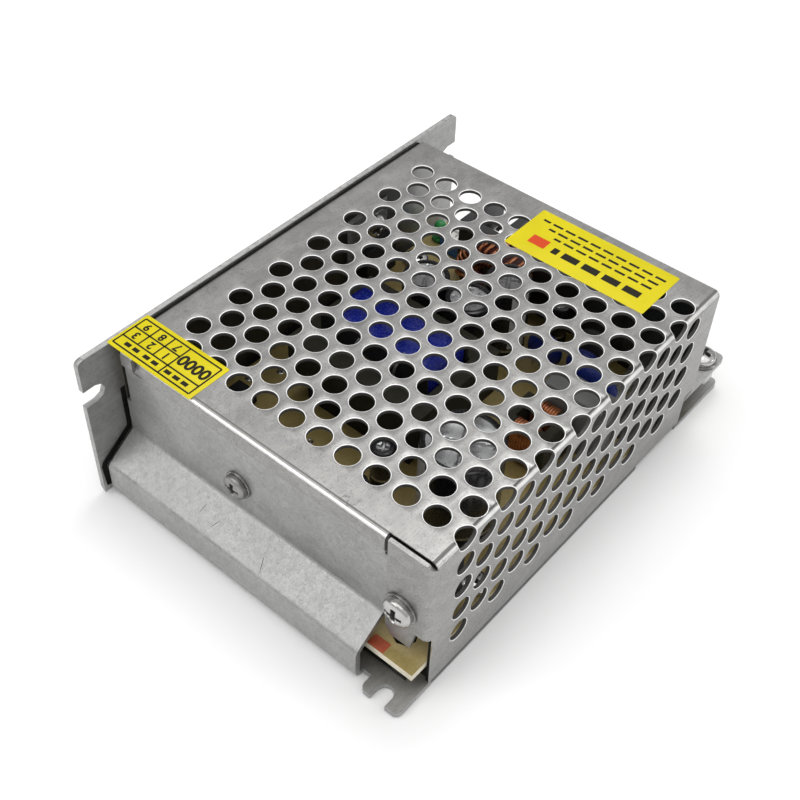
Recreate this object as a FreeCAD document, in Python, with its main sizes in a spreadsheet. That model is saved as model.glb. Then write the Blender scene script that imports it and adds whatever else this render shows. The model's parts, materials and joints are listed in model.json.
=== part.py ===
"""Mesh case switching power supply, 110 x 78 x 36 mm.

Frame: +X runs along the case to the terminal end, +Y to the tall side wall, +Z up.
The origin is the centre of the case outline on the underside of the base.
"""
import FreeCAD, Part
import Sketcher
import math
import os
import re

from FreeCAD import Rotation, Vector

# Driving sizes in millimetres: alias, value, meaning
SIZES = [
    ("case_length", 110.0, "overall length along X"),
    ("case_width", 78.0, "overall width along Y"),
    ("case_height", 36.0, "overall height"),
    ("chassis_sheet", 1.2, "thickness of the chassis sheet"),
    ("chassis_bend", 0.8, "inner radius of the chassis folds"),
    ("corner_round", 1.3, "rounded corners of the chassis tabs"),
    ("foot_inset", 1.2, "end wall foot, in from the end of the case"),
    ("foot_top", 8.0, "height where the end wall starts to slope in"),
    ("head_inset", 8.4, "end wall head, in from the end of the case"),
    ("head_start", 13.2, "height where the end wall is upright again"),
    ("end_gap", 1.05, "gap between the end wall and the side wall"),
    ("end_step", 1.15, "step in the end wall's left edge"),
    ("end_step_height", 21.5, "height of that step"),
    ("tab_width", 8.7, "width of the base tabs"),
    ("tab_relief", 2.0, "relief slit beside the base tab"),
    ("base_slot_width", 3.4, "open slot in each base tab"),
    ("base_slot_depth", 3.9, "depth of that slot from the end"),
    ("base_slot_side", 4.6, "slot centre line, in from the side"),
    ("side_slot_width", 4.0, "open slot in each end of the side wall"),
    ("side_slot_depth", 4.8, "depth of that slot from the end"),
    ("side_slot_height", 26.6, "height of the slot's centre line"),
    ("ear_bottom", 13.9, "lower edge of the ear behind the cover flange"),
    ("ear_top", 30.0, "upper edge of that ear"),
    ("ear_reach", 2.8, "ear's free edge, in from the side"),
    ("ledge_top", 8.6, "top of the ledge at the terminal end"),
    ("ledge_width", 9.0, "width of the ledge"),
    ("ledge_length", 35.0, "length of the ledge from the end of the case"),
    ("riser_start", 19.0, "riser under the ledge, in from the end"),
    ("riser_length", 14.0, "length of the riser"),
    ("cover_sheet", 0.8, "thickness of the cover sheet"),
    ("cover_bend", 0.5, "inner radius of the cover folds"),
    ("cover_fit", 0.2, "clearance between cover and chassis"),
    ("cover_far", 13.7, "cover's far edge, in from the end"),
    ("cover_gap", 1.0, "gap between the cover and the side wall"),
    ("cover_foot", 0.1, "gap under the cover's side"),
    ("cover_step_height", 9.0, "height of the step at the cover's far corner"),
    ("cover_step_inset", 3.4, "length of that step"),
    ("lip_height", 3.6, "turned-down lip at the near end"),
    ("lip_gap", 0.7, "relief between the lip and the flange"),
    ("lip_tail", 3.6, "short piece of lip beside the side wall"),
    ("lip_notch", 2.4, "notch between that piece and the rest of the lip"),
    ("stiffener_height", 3.0, "turned-down edge beside the side wall"),
    ("flange_width", 9.4, "flange round the near corner"),
    ("flange_drop", 0.3, "flange's upper edge, below the fold of the top"),
    ("flange_bottom", 10.0, "flange's lower edge"),
    ("flange_relief", 15.5, "top of the relief beside the flange"),
    ("hole_across", 4.7, "size of the mesh holes"),
    ("hole_pitch", 6.5, "spacing of the holes within a row"),
    ("row_spacing", 5.47, "spacing of the staggered rows"),
    ("row_start", 8.93, "first row, in from the cover's near edge"),
    ("top_start", 3.25, "first hole on the top, in from the side"),
    ("side_start", 3.74, "first hole on the side, down from the top"),
    ("fold_shift", 0.25, "holes that cross the fold, in from its corner"),
    ("board_rise", 4.6, "height of the board over the base"),
    ("board_sheet", 1.6, "thickness of the circuit board"),
    ("board_near", 4.7, "board's near edge, in from the end"),
    ("board_far", 1.2, "board's far edge, in from the end"),
    ("board_margin", 1.2, "board's left edge, in from the side wall"),
    ("board_side", 0.9, "board's right edge, in from the side"),
    ("sheet_film", 0.35, "insulating film under the board"),
    ("film_margin", 1.5, "film's edge, in from the board's"),
    ("spacer_radius", 2.6, "radius of the threaded spacers under the board"),
    ("nut_height", 1.8, "height of the nut under the ledge"),
    ("tool_hole_radius", 2.4, "radius of the hole in the board's near corner"),
    ("tool_hole_end", 5.8, "that hole, in from the board's near edge"),
    ("tool_hole_side", 6.3, "that hole, in from the board's right edge"),
    ("pad_sheet", 0.3, "insulating pads behind the power devices"),
    ("device_sheet", 0.4, "metal plate behind the moulded bodies"),
    ("device_tab", 1.3, "thickness of the metal tab above them"),
    ("device_step", 7.0, "each power transistor, out from the screw"),
    ("device_deep", 4.4, "depth of the power devices"),
    ("device_wide", 10.2, "width of the power devices"),
    ("device_tall", 9.2, "height of their moulded bodies"),
    ("device_rise", 2.4, "their lower edge, over the board"),
    ("device_plate", 6.3, "metal tab above the moulded body"),
    ("bar_sheet", 1.5, "thickness of the clamp bar"),
    ("rectifier_x", 24.0, "rectifier along X"),
    ("rectifier_screw_rise", 15.2, "rectifier screw, over the board"),
    ("screw_radius", 1.5, "radius of the machine screws"),
    ("head_radius", 3.0, "radius of their heads"),
    ("head_height", 1.9, "height of their heads"),
    ("washer_radius", 3.4, "radius of the washers"),
    ("washer_sheet", 0.5, "thickness of the washers"),
    ("thread_fit", 0.05, "clearance round a screw in its thread"),
    ("hole_fit", 0.2, "clearance round a screw in a plain hole"),
    ("cover_screw_side", 6.0, "cover screw, in from the side"),
    ("cover_screw_height", 20.0, "height of the cover screw"),
    ("end_screw_side", 6.5, "end wall screw along Y"),
    ("end_screw_height", 20.0, "height of the end wall screw"),
    ("ledge_screw_end", 4.4, "ledge screw, in from the end"),
    ("ledge_screw_side", 3.4, "ledge screw, in from the side"),
    ("way_pitch", 9.5, "spacing of the terminals"),
    ("way_wall", 2.0, "wall between two terminals"),
    ("block_front", 0.6, "terminal block's front, in from the end"),
    ("block_depth", 15.0, "depth of the terminal block"),
    ("block_back", 2.4, "thickness of the block's back wall"),
    ("block_height", 14.8, "height of the block over the board"),
    ("block_centre", -1.2, "terminal block along Y"),
    ("deck_height", 6.8, "terminal deck over the board"),
    ("contact_sheet", 1.0, "thickness of the contact strips"),
    ("clamp_sheet", 0.9, "thickness of the clamp plates"),
    ("clamp_size", 6.8, "size of the clamp plates"),
    ("terminal_head", 3.0, "radius of the terminal screw heads"),
    ("terminal_head_height", 2.2, "height of those heads"),
    ("terminal_shank", 5.4, "length of the terminal screws below the clamp"),
    ("tail_width", 2.2, "slots for the contacts' legs"),
    ("trimmer_end", 9.0, "trimmer, in from the end"),
    ("trimmer_side", 27.8, "trimmer along Y"),
    ("trimmer_size", 6.6, "size of the trimmer's base"),
    ("trimmer_height", 4.4, "height of the trimmer's base"),
    ("rotor_radius", 2.5, "radius of the trimmer's rotor"),
    ("rotor_height", 1.4, "height of the trimmer's rotor"),
    ("lamp_radius", 1.5, "radius of the status lamp"),
    ("lamp_height", 5.4, "height of the status lamp"),
    ("fuse_x", 24.6, "fuse's near end along X"),
    ("fuse_y", -27.6, "fuse along Y"),
    ("fuse_length", 14.8, "length of the fuse"),
    ("fuse_radius", 2.0, "radius of the fuse's caps"),
    ("cap_length", 3.0, "length of the fuse's caps"),
    ("sleeve_sheet", 0.25, "thickness of the capacitors' sleeves"),
    ("choke_radius", 8.3, "radius of the output choke's core"),
    ("date_label_width", 22.0, "width of the corner sticker"),
    ("top_label_width", 33.0, "width of the large sticker"),
    ("label_sheet", 0.1, "thickness of the stickers"),
]
WAYS = 5
HOLE_SIDES = 8
HEAD_SIDES = 12
DISC_SIDES = 12
RING_SIDES = 16
SLOT_FACETS = 4
DEVICE_PITCH = 2.54

doc = FreeCAD.newDocument("power_supply")
sheet = doc.addObject("Spreadsheet::Sheet", "Sizes")
for line, (alias, value, meaning) in enumerate(SIZES, start=1):
    sheet.set(f"A{line}", meaning)
    sheet.set(f"B{line}", str(value))
    sheet.setAlias(f"B{line}", alias)
doc.recompute()

ALIASES = {alias for alias, value, meaning in SIZES}
parts = []


def cells(text):
    """Turn size names in a formula into references to the sheet."""
    return re.sub(r"[a-z][a-z0-9_]*", lambda m: "Sizes." + m[0] if m[0] in ALIASES else m[0], str(text))


def number(text):
    """The present value of a formula."""
    found = sheet.evalExpression(cells(text))
    return float(getattr(found, "Value", found))


def keep(thing, name):
    """Name a finished sub-part and list it for export."""
    thing.Label = name
    parts.append(thing)
    return thing


# Shared places, as formulas of the sizes
END = "(case_length / 2)"
SIDE = "(case_width / 2)"
WALL_IN = "(case_width / 2 - chassis_sheet)"
HEAD_X = f"(-{END} + head_inset)"
FOOT_X = f"(-{END} + foot_inset)"
HEAD_IN = f"({HEAD_X} + chassis_sheet)"
COVER_NEAR = f"({HEAD_X} - cover_fit - cover_sheet)"
COVER_FAR = f"({END} - cover_far)"
COVER_LEFT = f"({WALL_IN} - cover_gap)"
COVER_UNDER = "(case_height - cover_sheet)"
FLANGE_TOP = "(case_height - cover_sheet - cover_bend - flange_drop)"
LEDGE_Y = f"(-{SIDE} + ledge_width)"
TAB_Y = f"(-{SIDE} + tab_width)"
END_RIGHT = f"({TAB_Y} + tab_relief)"
END_LEFT = f"({WALL_IN} - end_gap)"
BOARD_TOP = "(chassis_sheet + board_rise + board_sheet)"
BOARD_LOW = "(chassis_sheet + board_rise)"
RISER_Y = f"(-{SIDE} + cover_sheet + cover_fit)"
BLOCK_X = f"({END} - block_front)"
BLOCK_BACK = f"({BLOCK_X} - block_depth)"
DECK = f"({BOARD_TOP} + deck_height)"
SCREW_X = f"({BLOCK_X} - (block_depth - block_back) / 2)"
BAR_X = f"({HEAD_IN} + pad_sheet + device_deep)"
RECTIFIER_SCREW_Z = f"({BOARD_TOP} + rectifier_screw_rise)"


def way_y(number_of_way):
    """Y of a terminal, counted from the side with the cover's fold."""
    return f"(block_centre + {number_of_way - (WAYS - 1) / 2} * way_pitch)"


# Features of bodies

PLANES = {"x": "YZ_Plane", "y": "XZ_Plane", "z": "XY_Plane"}


def new_body(name):
    """An empty body of the document."""
    return doc.addObject("PartDesign::Body", name)


def sketch_on(body, axis, start):
    """A sketch across an axis, at a distance along it."""
    sketch = body.newObject("Sketcher::SketchObject", "outline")
    plane = next(f for f in body.Origin.OriginFeatures if f.Role == PLANES[axis])
    sketch.AttachmentSupport = [(plane, "")]
    sketch.MapMode = "FlatFace"
    sign = "-" if axis == "y" else ""
    sketch.setExpression("AttachmentOffset.Base.z", cells(f"{sign}({start})"))
    return sketch


def draw_outline(sketch, points):
    """Draw a closed outline of straight lines whose corners follow the sizes."""
    count = len(points)
    spots = [Vector(number(a), number(b), 0) for a, b in points]
    lines = [Part.LineSegment(spots[i], spots[(i + 1) % count]) for i in range(count)]
    first = sketch.GeometryCount
    sketch.addGeometry(lines, False)
    for i in range(count):
        sketch.addConstraint(Sketcher.Constraint("Coincident", first + i, 2, first + (i + 1) % count, 1))
    for i, (a, b) in enumerate(points):
        for kind, formula, value in (("DistanceX", a, spots[i].x), ("DistanceY", b, spots[i].y)):
            index = sketch.addConstraint(Sketcher.Constraint(kind, -1, 1, first + i, 1, value))
            sketch.setExpression(f".Constraints[{index}]", cells(formula))


def extrude(body, axis, sketch, length, cut=False):
    """Pad or pocket a sketch along the positive direction of an axis."""
    kind = "PartDesign::Pocket" if cut else "PartDesign::Pad"
    feature = body.newObject(kind, "cut_out" if cut else "extrusion")
    feature.Profile = sketch
    feature.setExpression("Length", cells(length))
    feature.Reversed = (axis == "y") != cut
    return feature


def slab(body, axis, points, start, length, cut=False):
    """Extrude a straight-sided outline along an axis."""
    sketch = sketch_on(body, axis, start)
    draw_outline(sketch, points)
    return extrude(body, axis, sketch, length, cut)


def arc_points(a, b, radius, start, stop, count):
    """Corners of an arc between two angles in degrees, with straight facets between them."""
    points = []
    for step in range(count + 1):
        turn = math.radians(start + (stop - start) * step / count)
        points.append((f"{a} + ({radius}) * {math.cos(turn):.6f}", f"{b} + ({radius}) * {math.sin(turn):.6f}"))
    return points


def drill(body, axis, a, b, radius, start, length):
    """Cut an eight-sided hole along an axis."""
    return slab(body, axis, arc_points(a, b, radius, 0, 360, 8)[:-1], start, length, True)


def block(body, low, high, cut=False):
    """Add or cut a rectangular block between two corners."""
    (x0, y0, z0), (x1, y1, z1) = low, high
    points = [(x0, y0), (x1, y0), (x1, y1), (x0, y1)]
    return slab(body, "z", points, z0, f"({z1}) - ({z0})", cut)


def near(value, formula):
    """Whether a coordinate lies where a formula says."""
    return abs(value - number(formula)) < 0.01


def round_edges(body, radius, test):
    """Round the edges of a body that pass a test of their two ends."""
    doc.recompute()
    names = []
    for index, edge in enumerate(body.Shape.Edges, start=1):
        if len(edge.Vertexes) == 2 and test(edge.Vertexes[0].Point, edge.Vertexes[1].Point):
            names.append(f"Edge{index}")
    solid = body.Tip
    fillet = body.newObject("PartDesign::Fillet", "rounding")
    fillet.Base = (solid, names)
    fillet.setExpression("Radius", cells(radius))
    body.Tip = fillet
    return fillet


def repeat(body, feature, steps):
    """Repeat a feature along one or two axes: role, length formula, count."""
    pattern = body.newObject("PartDesign::MultiTransform", "pattern")
    pattern.Originals = [feature]
    moves = []
    for role, length, count in steps:
        move = body.newObject("PartDesign::LinearPattern", "row")
        axis = next(f for f in body.Origin.OriginFeatures if f.Role == role)
        move.Direction = (axis, [""])
        move.setExpression("Length", cells(f"abs({length})"))
        move.Reversed = number(length) < 0
        move.Occurrences = count
        moves.append(move)
    pattern.Transformations = moves
    body.Tip = pattern
    return pattern


# Simple solids

TURNS = {"x": Rotation(Vector(0, 1, 0), 90), "y": Rotation(Vector(1, 0, 0), -90), "z": Rotation()}


def place(thing, x, y, z):
    """Tie a solid's place to the sizes."""
    for letter, formula in zip("xyz", (x, y, z)):
        thing.setExpression(f"Placement.Base.{letter}", cells(formula))
    return thing


def box(x, y, z, dx, dy, dz):
    """A box from its low corner."""
    made = doc.addObject("Part::Box", "box")
    for name, formula in zip(("Length", "Width", "Height"), (dx, dy, dz)):
        made.setExpression(name, cells(formula))
    return place(made, x, y, z)


def rod(axis, x, y, z, radius, length):
    """A cylinder from the centre of its low end."""
    made = doc.addObject("Part::Cylinder", "rod")
    made.setExpression("Radius", cells(radius))
    made.setExpression("Height", cells(length))
    made.Placement.Rotation = TURNS[axis]
    return place(made, x, y, z)


def fuse(pieces):
    """Join solids into one."""
    made = doc.addObject("Part::MultiFuse", "join")
    made.Shapes = pieces
    made.Refine = True
    return made


def cut(base, tools):
    """Cut solids out of another."""
    made = doc.addObject("Part::Cut", "cut")
    made.Base = base
    made.Tool = tools[0] if len(tools) == 1 else fuse(tools)
    return made


def group(pieces):
    """Separate solids of one kind that share a node."""
    made = doc.addObject("Part::Compound", "set_of")
    made.Links = pieces
    return made


def soften(base, radius, test):
    """Round the edges of a solid that pass a test of their two ends."""
    doc.recompute()
    made = doc.addObject("Part::Fillet", "rounded")
    made.Base = base
    edges = []
    for index, edge in enumerate(base.Shape.Edges, start=1):
        if len(edge.Vertexes) == 2 and test(edge.Vertexes[0].Point, edge.Vertexes[1].Point):
            edges.append((index, radius, radius))
    made.Edges = edges
    return made


def upright(a, b):
    """Whether an edge runs along Z."""
    return abs(a.x - b.x) < 0.01 and abs(a.y - b.y) < 0.01


def prism(axis, x, y, z, radius, length, sides=8):
    """A many-sided rod from the centre of its low end."""
    made = doc.addObject("Part::Prism", "many_sided_rod")
    made.Polygon = sides
    made.setExpression("Circumradius", cells(radius))
    made.setExpression("Height", cells(length))
    made.Placement.Rotation = TURNS[axis]
    return place(made, x, y, z)


def screw(length, head="head_radius", height="head_height", recessed=True):
    """A machine screw, its head's underside on the origin, with a cross recess where it shows."""
    head_and_shank = fuse([
        prism("z", 0, 0, 0, head, height, HEAD_SIDES),
        prism("z", 0, 0, f"-({length})", "screw_radius", length),
    ])
    if not recessed:
        return head_and_shank
    long_arm, short_arm = f"1.1 * {head}", f"0.22 * {head}"
    floor = f"0.4 * {height}"
    arms = [
        box(f"-({long_arm}) / 2", f"-({short_arm}) / 2", floor, long_arm, short_arm, height),
        box(f"-({short_arm}) / 2", f"-({long_arm}) / 2", floor, short_arm, long_arm, height),
    ]
    return cut(head_and_shank, arms)


def washer():
    """A flat washer with its underside on the origin."""
    disc_blank = prism("z", 0, 0, 0, "washer_radius", "washer_sheet", HEAD_SIDES)
    return cut(disc_blank, [prism("z", 0, 0, -1, "screw_radius + hole_fit", "washer_sheet + 2")])


def stand(thing, turn, x, y, z):
    """Turn a finished piece and set it in its place."""
    thing.Placement.Rotation = turn
    return place(thing, x, y, z)


TO_NEAR = Rotation(Vector(0, 1, 0), -90)
TO_RIGHT = Rotation(Vector(1, 0, 0), 90)
UP = Rotation()


def make_chassis():
    """Folded chassis: base, tall side wall, end wall, ear and ledge."""
    body = new_body("chassis")
    walls = [
        (f"-{SIDE}", 0), (SIDE, 0), (SIDE, "case_height"), (WALL_IN, "case_height"),
        (WALL_IN, "chassis_sheet"), (f"-{SIDE}", "chassis_sheet"),
    ]
    slab(body, "x", walls, f"-{END}", "case_length")

    def fold(y, z):
        return lambda a, b: (near(a.y, y) and near(b.y, y) and near(a.z, z) and near(b.z, z))

    def fold_x(x, z):
        return lambda a, b: (near(a.x, x) and near(b.x, x) and near(a.z, z) and near(b.z, z))

    outer = "chassis_bend + chassis_sheet"
    round_edges(body, outer, fold(SIDE, 0))
    # The base stops short of the end, between the tab and the side wall
    block(body, (f"-{END} - 1", TAB_Y, "-1"), (FOOT_X, WALL_IN, "chassis_sheet"), True)
    block(body, (FOOT_X, TAB_Y, "-1"), (f"{FOOT_X} + 2", END_RIGHT, "chassis_sheet + 1"), True)
    block(body, (f"{FOOT_X} - 1", END_LEFT, "-1"), (f"{FOOT_X} + 3", WALL_IN, "chassis_sheet + 1"), True)
    # Base edge cut back where the riser is folded up
    riser_low = f"({END} - riser_start - riser_length)"
    riser_high = f"({END} - riser_start)"
    block(body, (f"{riser_low} - 0.6", f"-{SIDE} - 1", "-1"),
          (f"{riser_high} + 0.6", RISER_Y, "chassis_sheet + 1"), True)
    # End wall: upright foot, slope and upright head
    rise = "(head_start - foot_top) / (head_inset - foot_inset)"
    fall = f"chassis_sheet * (sqrt(1 + ({rise})^2) - {rise})"
    profile = [
        (FOOT_X, 0), (FOOT_X, "foot_top"), (HEAD_X, "head_start"), (HEAD_X, f"{COVER_UNDER} - cover_fit"),
        (HEAD_IN, f"{COVER_UNDER} - cover_fit"), (HEAD_IN, f"head_start - {fall}"),
        (f"{FOOT_X} + chassis_sheet", f"foot_top - {fall}"), (f"{FOOT_X} + chassis_sheet", 0),
    ]
    slab(body, "y", profile, END_RIGHT, f"{END_LEFT} - {END_RIGHT}")
    block(body, (f"{HEAD_X} - 1", f"{END_LEFT} - end_step", "end_step_height"),
          (f"{HEAD_IN} + 1", f"{END_LEFT} + 1", "case_height"), True)
    block(body, (HEAD_X, f"-{SIDE} + ear_reach", "ear_bottom"), (HEAD_IN, END_RIGHT, "ear_top"))
    # Ledge at the terminal end, folded over the riser and widened past the cover's stepped corner
    step_x = f"({COVER_FAR} - cover_step_inset + cover_fit)"
    block(body, (riser_low, RISER_Y, 0), (riser_high, f"{RISER_Y} + chassis_sheet", "ledge_top"))
    ledge = [
        (f"{END} - ledge_length", RISER_Y), (step_x, RISER_Y), (step_x, f"-{SIDE}"), (END, f"-{SIDE}"),
        (END, LEDGE_Y), (f"{END} - ledge_length", LEDGE_Y),
    ]
    slab(body, "z", ledge, "ledge_top - chassis_sheet", "chassis_sheet")

    round_edges(body, outer, fold_x(FOOT_X, 0))
    round_edges(body, outer, fold_x(FOOT_X, "foot_top"))
    round_edges(body, "chassis_bend", fold_x(HEAD_X, "head_start"))
    round_edges(body, outer, fold_x(HEAD_IN, f"head_start - {fall}"))
    round_edges(body, "chassis_bend", fold(RISER_Y, "ledge_top"))

    def tab_corner(a, b):
        """Corners of the base tabs and the ledge."""
        ends = abs(abs(a.x) - number(END)) < 0.01
        return ends and upright(a, b) and a.y < number(TAB_Y) + 1.0

    def wall_corner(a, b):
        """Upper corners of the side wall."""
        same = abs(a.x - b.x) < 0.01 and abs(a.z - b.z) < 0.01
        return same and near(a.z, "case_height") and abs(abs(a.x) - number(END)) < 0.01

    round_edges(body, "corner_round", tab_corner)
    round_edges(body, "corner_round", wall_corner)
    # Open-ended slots in the tabs and in the ends of the side wall
    for sign in ("-", ""):
        for axis, middle, width, depth, start in (
            ("z", f"-{SIDE} + base_slot_side", "base_slot_width", "base_slot_depth", "-1"),
            ("y", "side_slot_height", "side_slot_width", "side_slot_depth", f"{WALL_IN} - 1"),
        ):
            inner = f"{sign}({END} - {depth} + {width} / 2)"
            outside = f"{sign}({END} + 1)"
            first = -90 if sign else 90
            inner_end = arc_points(inner, middle, f"{width} / 2", first, first + 180, SLOT_FACETS)
            mouth = [(outside, inner_end[-1][1]), (outside, inner_end[0][1])]
            slab(body, axis, inner_end + mouth, start, "chassis_sheet + 2", True)
    # Threads for the cover screw, plain hole for the end wall screw, and the ledge's screw hole
    drill(body, "x", f"-{SIDE} + cover_screw_side", "cover_screw_height", "screw_radius + thread_fit",
          f"{HEAD_X} - 1", "chassis_sheet + 2")
    drill(body, "x", "end_screw_side", "end_screw_height", "screw_radius + hole_fit",
          f"{HEAD_X} - 1", "chassis_sheet + 2")
    drill(body, "z", f"{END} - ledge_screw_end", f"-{SIDE} + ledge_screw_side", "screw_radius + hole_fit",
          "ledge_top - chassis_sheet - 1", "chassis_sheet + 2")
    drill(body, "y", "rectifier_x", RECTIFIER_SCREW_Z, "screw_radius + thread_fit", f"{WALL_IN} - 1",
          "chassis_sheet + 2")
    return keep(body, "chassis")


def make_cover():
    """Perforated cover folded from one sheet: top, side, lip, flange and stiffener."""
    body = new_body("cover_blank")
    low = "(chassis_sheet + cover_foot)"
    length = f"{COVER_FAR} - {COVER_NEAR}"
    section = [
        (f"-{SIDE}", low), (f"-{SIDE} + cover_sheet", low), (f"-{SIDE} + cover_sheet", COVER_UNDER),
        (f"{COVER_LEFT} - cover_sheet", COVER_UNDER),
        (f"{COVER_LEFT} - cover_sheet", "case_height - stiffener_height"),
        (COVER_LEFT, "case_height - stiffener_height"), (COVER_LEFT, "case_height"), (f"-{SIDE}", "case_height"),
    ]
    slab(body, "x", section, COVER_NEAR, length)
    outer = "cover_bend + cover_sheet"

    def along_x(y, z):
        return lambda a, b: (near(a.y, y) and near(b.y, y) and near(a.z, z) and near(b.z, z))

    def along_y(x, z):
        return lambda a, b: (near(a.x, x) and near(b.x, x) and near(a.z, z) and near(b.z, z))

    round_edges(body, outer, along_x(f"-{SIDE}", "case_height"))
    round_edges(body, outer, along_x(COVER_LEFT, "case_height"))
    # The turned-down edge leaves room for the end wall
    block(body, (f"{COVER_NEAR} - 1", f"{COVER_LEFT} - cover_sheet", "case_height - stiffener_height - 1"),
          (f"{HEAD_IN} + 2", f"{COVER_LEFT} + 1", COVER_UNDER), True)
    flange_y = f"(-{SIDE} + flange_width)"
    # Lip turned down over the end wall, between two notches
    lip_low = f"({flange_y} + lip_gap)"
    lip_high = f"({COVER_LEFT} - cover_sheet - cover_bend)"
    notch_low = f"({lip_high} - lip_tail - lip_notch)"
    notch_high = f"({lip_high} - lip_tail)"
    for low, high in ((lip_low, notch_low), (notch_high, lip_high)):
        block(body, (COVER_NEAR, low, "case_height - lip_height"),
              (f"{COVER_NEAR} + cover_sheet", high, "case_height - cover_sheet / 2"))
    for low, high in ((flange_y, lip_low), (notch_low, notch_high), (lip_high, f"{COVER_LEFT} + 1")):
        block(body, (f"{COVER_NEAR} - 1", low, f"{COVER_UNDER} - 1"),
              (f"{COVER_NEAR} + cover_sheet + cover_bend", high, "case_height + 1"), True)
    # Flange folded round the near corner from the side
    flange = [
        (f"-{SIDE} + cover_sheet / 2", FLANGE_TOP), (flange_y, FLANGE_TOP),
        (flange_y, "flange_bottom + 2"), (f"{flange_y} - 1.4", "flange_bottom"), (f"-{SIDE} + 3.9", "flange_bottom"),
        (f"-{SIDE} + 2.8", "flange_relief"), (f"-{SIDE} + cover_sheet / 2", "flange_relief"),
    ]
    slab(body, "x", flange, COVER_NEAR, "cover_sheet")
    # Slit between the flange and the top sheet, and relief under the fold
    block(body, (f"{COVER_NEAR} - 1", f"-{SIDE} - 1", FLANGE_TOP),
          (f"{COVER_NEAR} + cover_sheet + cover_bend", f"{flange_y} + lip_gap", COVER_UNDER), True)
    block(body, (f"{COVER_NEAR} - 1", f"-{SIDE} - 1", 0),
          (f"{COVER_NEAR} + cover_sheet", f"-{SIDE} + cover_sheet + 0.01", "flange_relief"), True)
    # Far lower corner, stepped to clear the ledge
    block(body, (f"{COVER_FAR} - cover_step_inset", f"-{SIDE} - 1", 0),
          (f"{COVER_FAR} + 1", f"-{SIDE} + cover_sheet + 0.01", "cover_step_height"), True)

    def flange_fold(a, b):
        """Outer edge of the vertical fold."""
        return upright(a, b) and near(a.x, COVER_NEAR) and near(a.y, f"-{SIDE}") and max(a.z, b.z) < 35.0

    def lip_fold(a, b):
        """Outer edge of the lip's fold."""
        inside = min(a.y, b.y) > number(flange_y) and max(a.y, b.y) < number(lip_high) + 0.01
        return inside and along_y(COVER_NEAR, "case_height")(a, b)

    round_edges(body, outer, lip_fold)
    round_edges(body, outer, flange_fold)
    drill(body, "x", f"-{SIDE} + cover_screw_side", "cover_screw_height", "screw_radius + hole_fit",
          f"{COVER_NEAR} - 1", "cover_sheet + 2")
    punches = doc.addObject("Part::Feature", "mesh_punches")
    punches.Shape = Part.Compound(mesh_punches())
    return keep(cut(body, [punches]), "mesh_cover")


def punch(x, y, z, axis, depth):
    """A many-sided punch for one mesh hole, along Z or along Y."""
    radius = number("hole_across") / 2
    corners = []
    for side in range(HOLE_SIDES + 1):
        turn = 2 * math.pi * (side + 0.5) / HOLE_SIDES
        across, along = radius * math.cos(turn), radius * math.sin(turn)
        corners.append(Vector(x + across, y + along, z) if axis == "z" else Vector(x + across, y, z + along))
    face = Part.Face(Part.makePolygon(corners))
    return face.extrude(Vector(0, 0, depth) if axis == "z" else Vector(0, depth, 0))


def mesh_punches():
    """Staggered rows of punches over the top, down the side and across the fold between them."""
    sheet_in = number("cover_sheet")
    fold = number("cover_sheet + cover_bend")
    side = number(f"-{SIDE}")
    top = number("case_height")
    pitch = number("hole_pitch")
    shift = number("fold_shift")
    found = []
    for row in range(number_of_rows()):
        x = number(f"{COVER_NEAR} + row_start") + row * number("row_spacing")
        offset = 0 if row % 2 else pitch / 2
        across = 11 if row % 2 else 10
        for step in range(across):
            y = side + number("top_start") + offset + step * pitch
            found.append(punch(x, y, top - sheet_in - 1, "z", sheet_in + 2))
        for step in range(4):
            z = top - number("side_start") - offset - step * pitch
            found.append(punch(x, side - 1, z, "y", sheet_in + 2))
        if row % 2 == 0:
            down = punch(x, side + shift, top - fold, "z", fold + 1)
            inward = punch(x, side - 1, top - shift, "y", fold + 1)
            found.append(down.fuse(inward))
    return found


def number_of_rows():
    """Rows that fit between the near edge and the far edge of the cover."""
    room = number(f"{COVER_FAR} - {COVER_NEAR} - row_start") - number("hole_across")
    return int(room / number("row_spacing")) + 1


def make_case_screws():
    """Machine screws and washers of the case, and the ledge's nut."""
    cover_y = f"-{SIDE} + cover_screw_side"
    through = screw("washer_sheet + cover_sheet + cover_fit + chassis_sheet + 3")
    keep(stand(through, TO_NEAR, f"{COVER_NEAR} - washer_sheet", cover_y, "cover_screw_height"), "cover_screw")
    through = screw(f"washer_sheet + {BAR_X} + bar_sheet + 0.8 - {HEAD_X}")
    keep(stand(through, TO_NEAR, f"{HEAD_X} - washer_sheet", "end_screw_side", "end_screw_height"),
         "transistor_screw")
    ledge_x = f"{END} - ledge_screw_end"
    ledge_y = f"-{SIDE} + ledge_screw_side"
    through = screw(f"washer_sheet + ledge_top - {BOARD_LOW} + nut_height")
    keep(stand(through, UP, ledge_x, ledge_y, "ledge_top + washer_sheet"), "ledge_screw")
    keep(group([
        stand(washer(), TO_NEAR, COVER_NEAR, cover_y, "cover_screw_height"),
        stand(washer(), TO_NEAR, HEAD_X, "end_screw_side", "end_screw_height"),
        stand(washer(), UP, ledge_x, ledge_y, "ledge_top"),
    ]), "screw_washers")
    nut = prism("z", ledge_x, ledge_y, f"{BOARD_LOW} - nut_height", "washer_radius - 0.2", "nut_height", 6)
    keep(cut(nut, [prism("z", ledge_x, ledge_y, 0, "screw_radius + thread_fit", BOARD_LOW)]), "ledge_nut")


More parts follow.
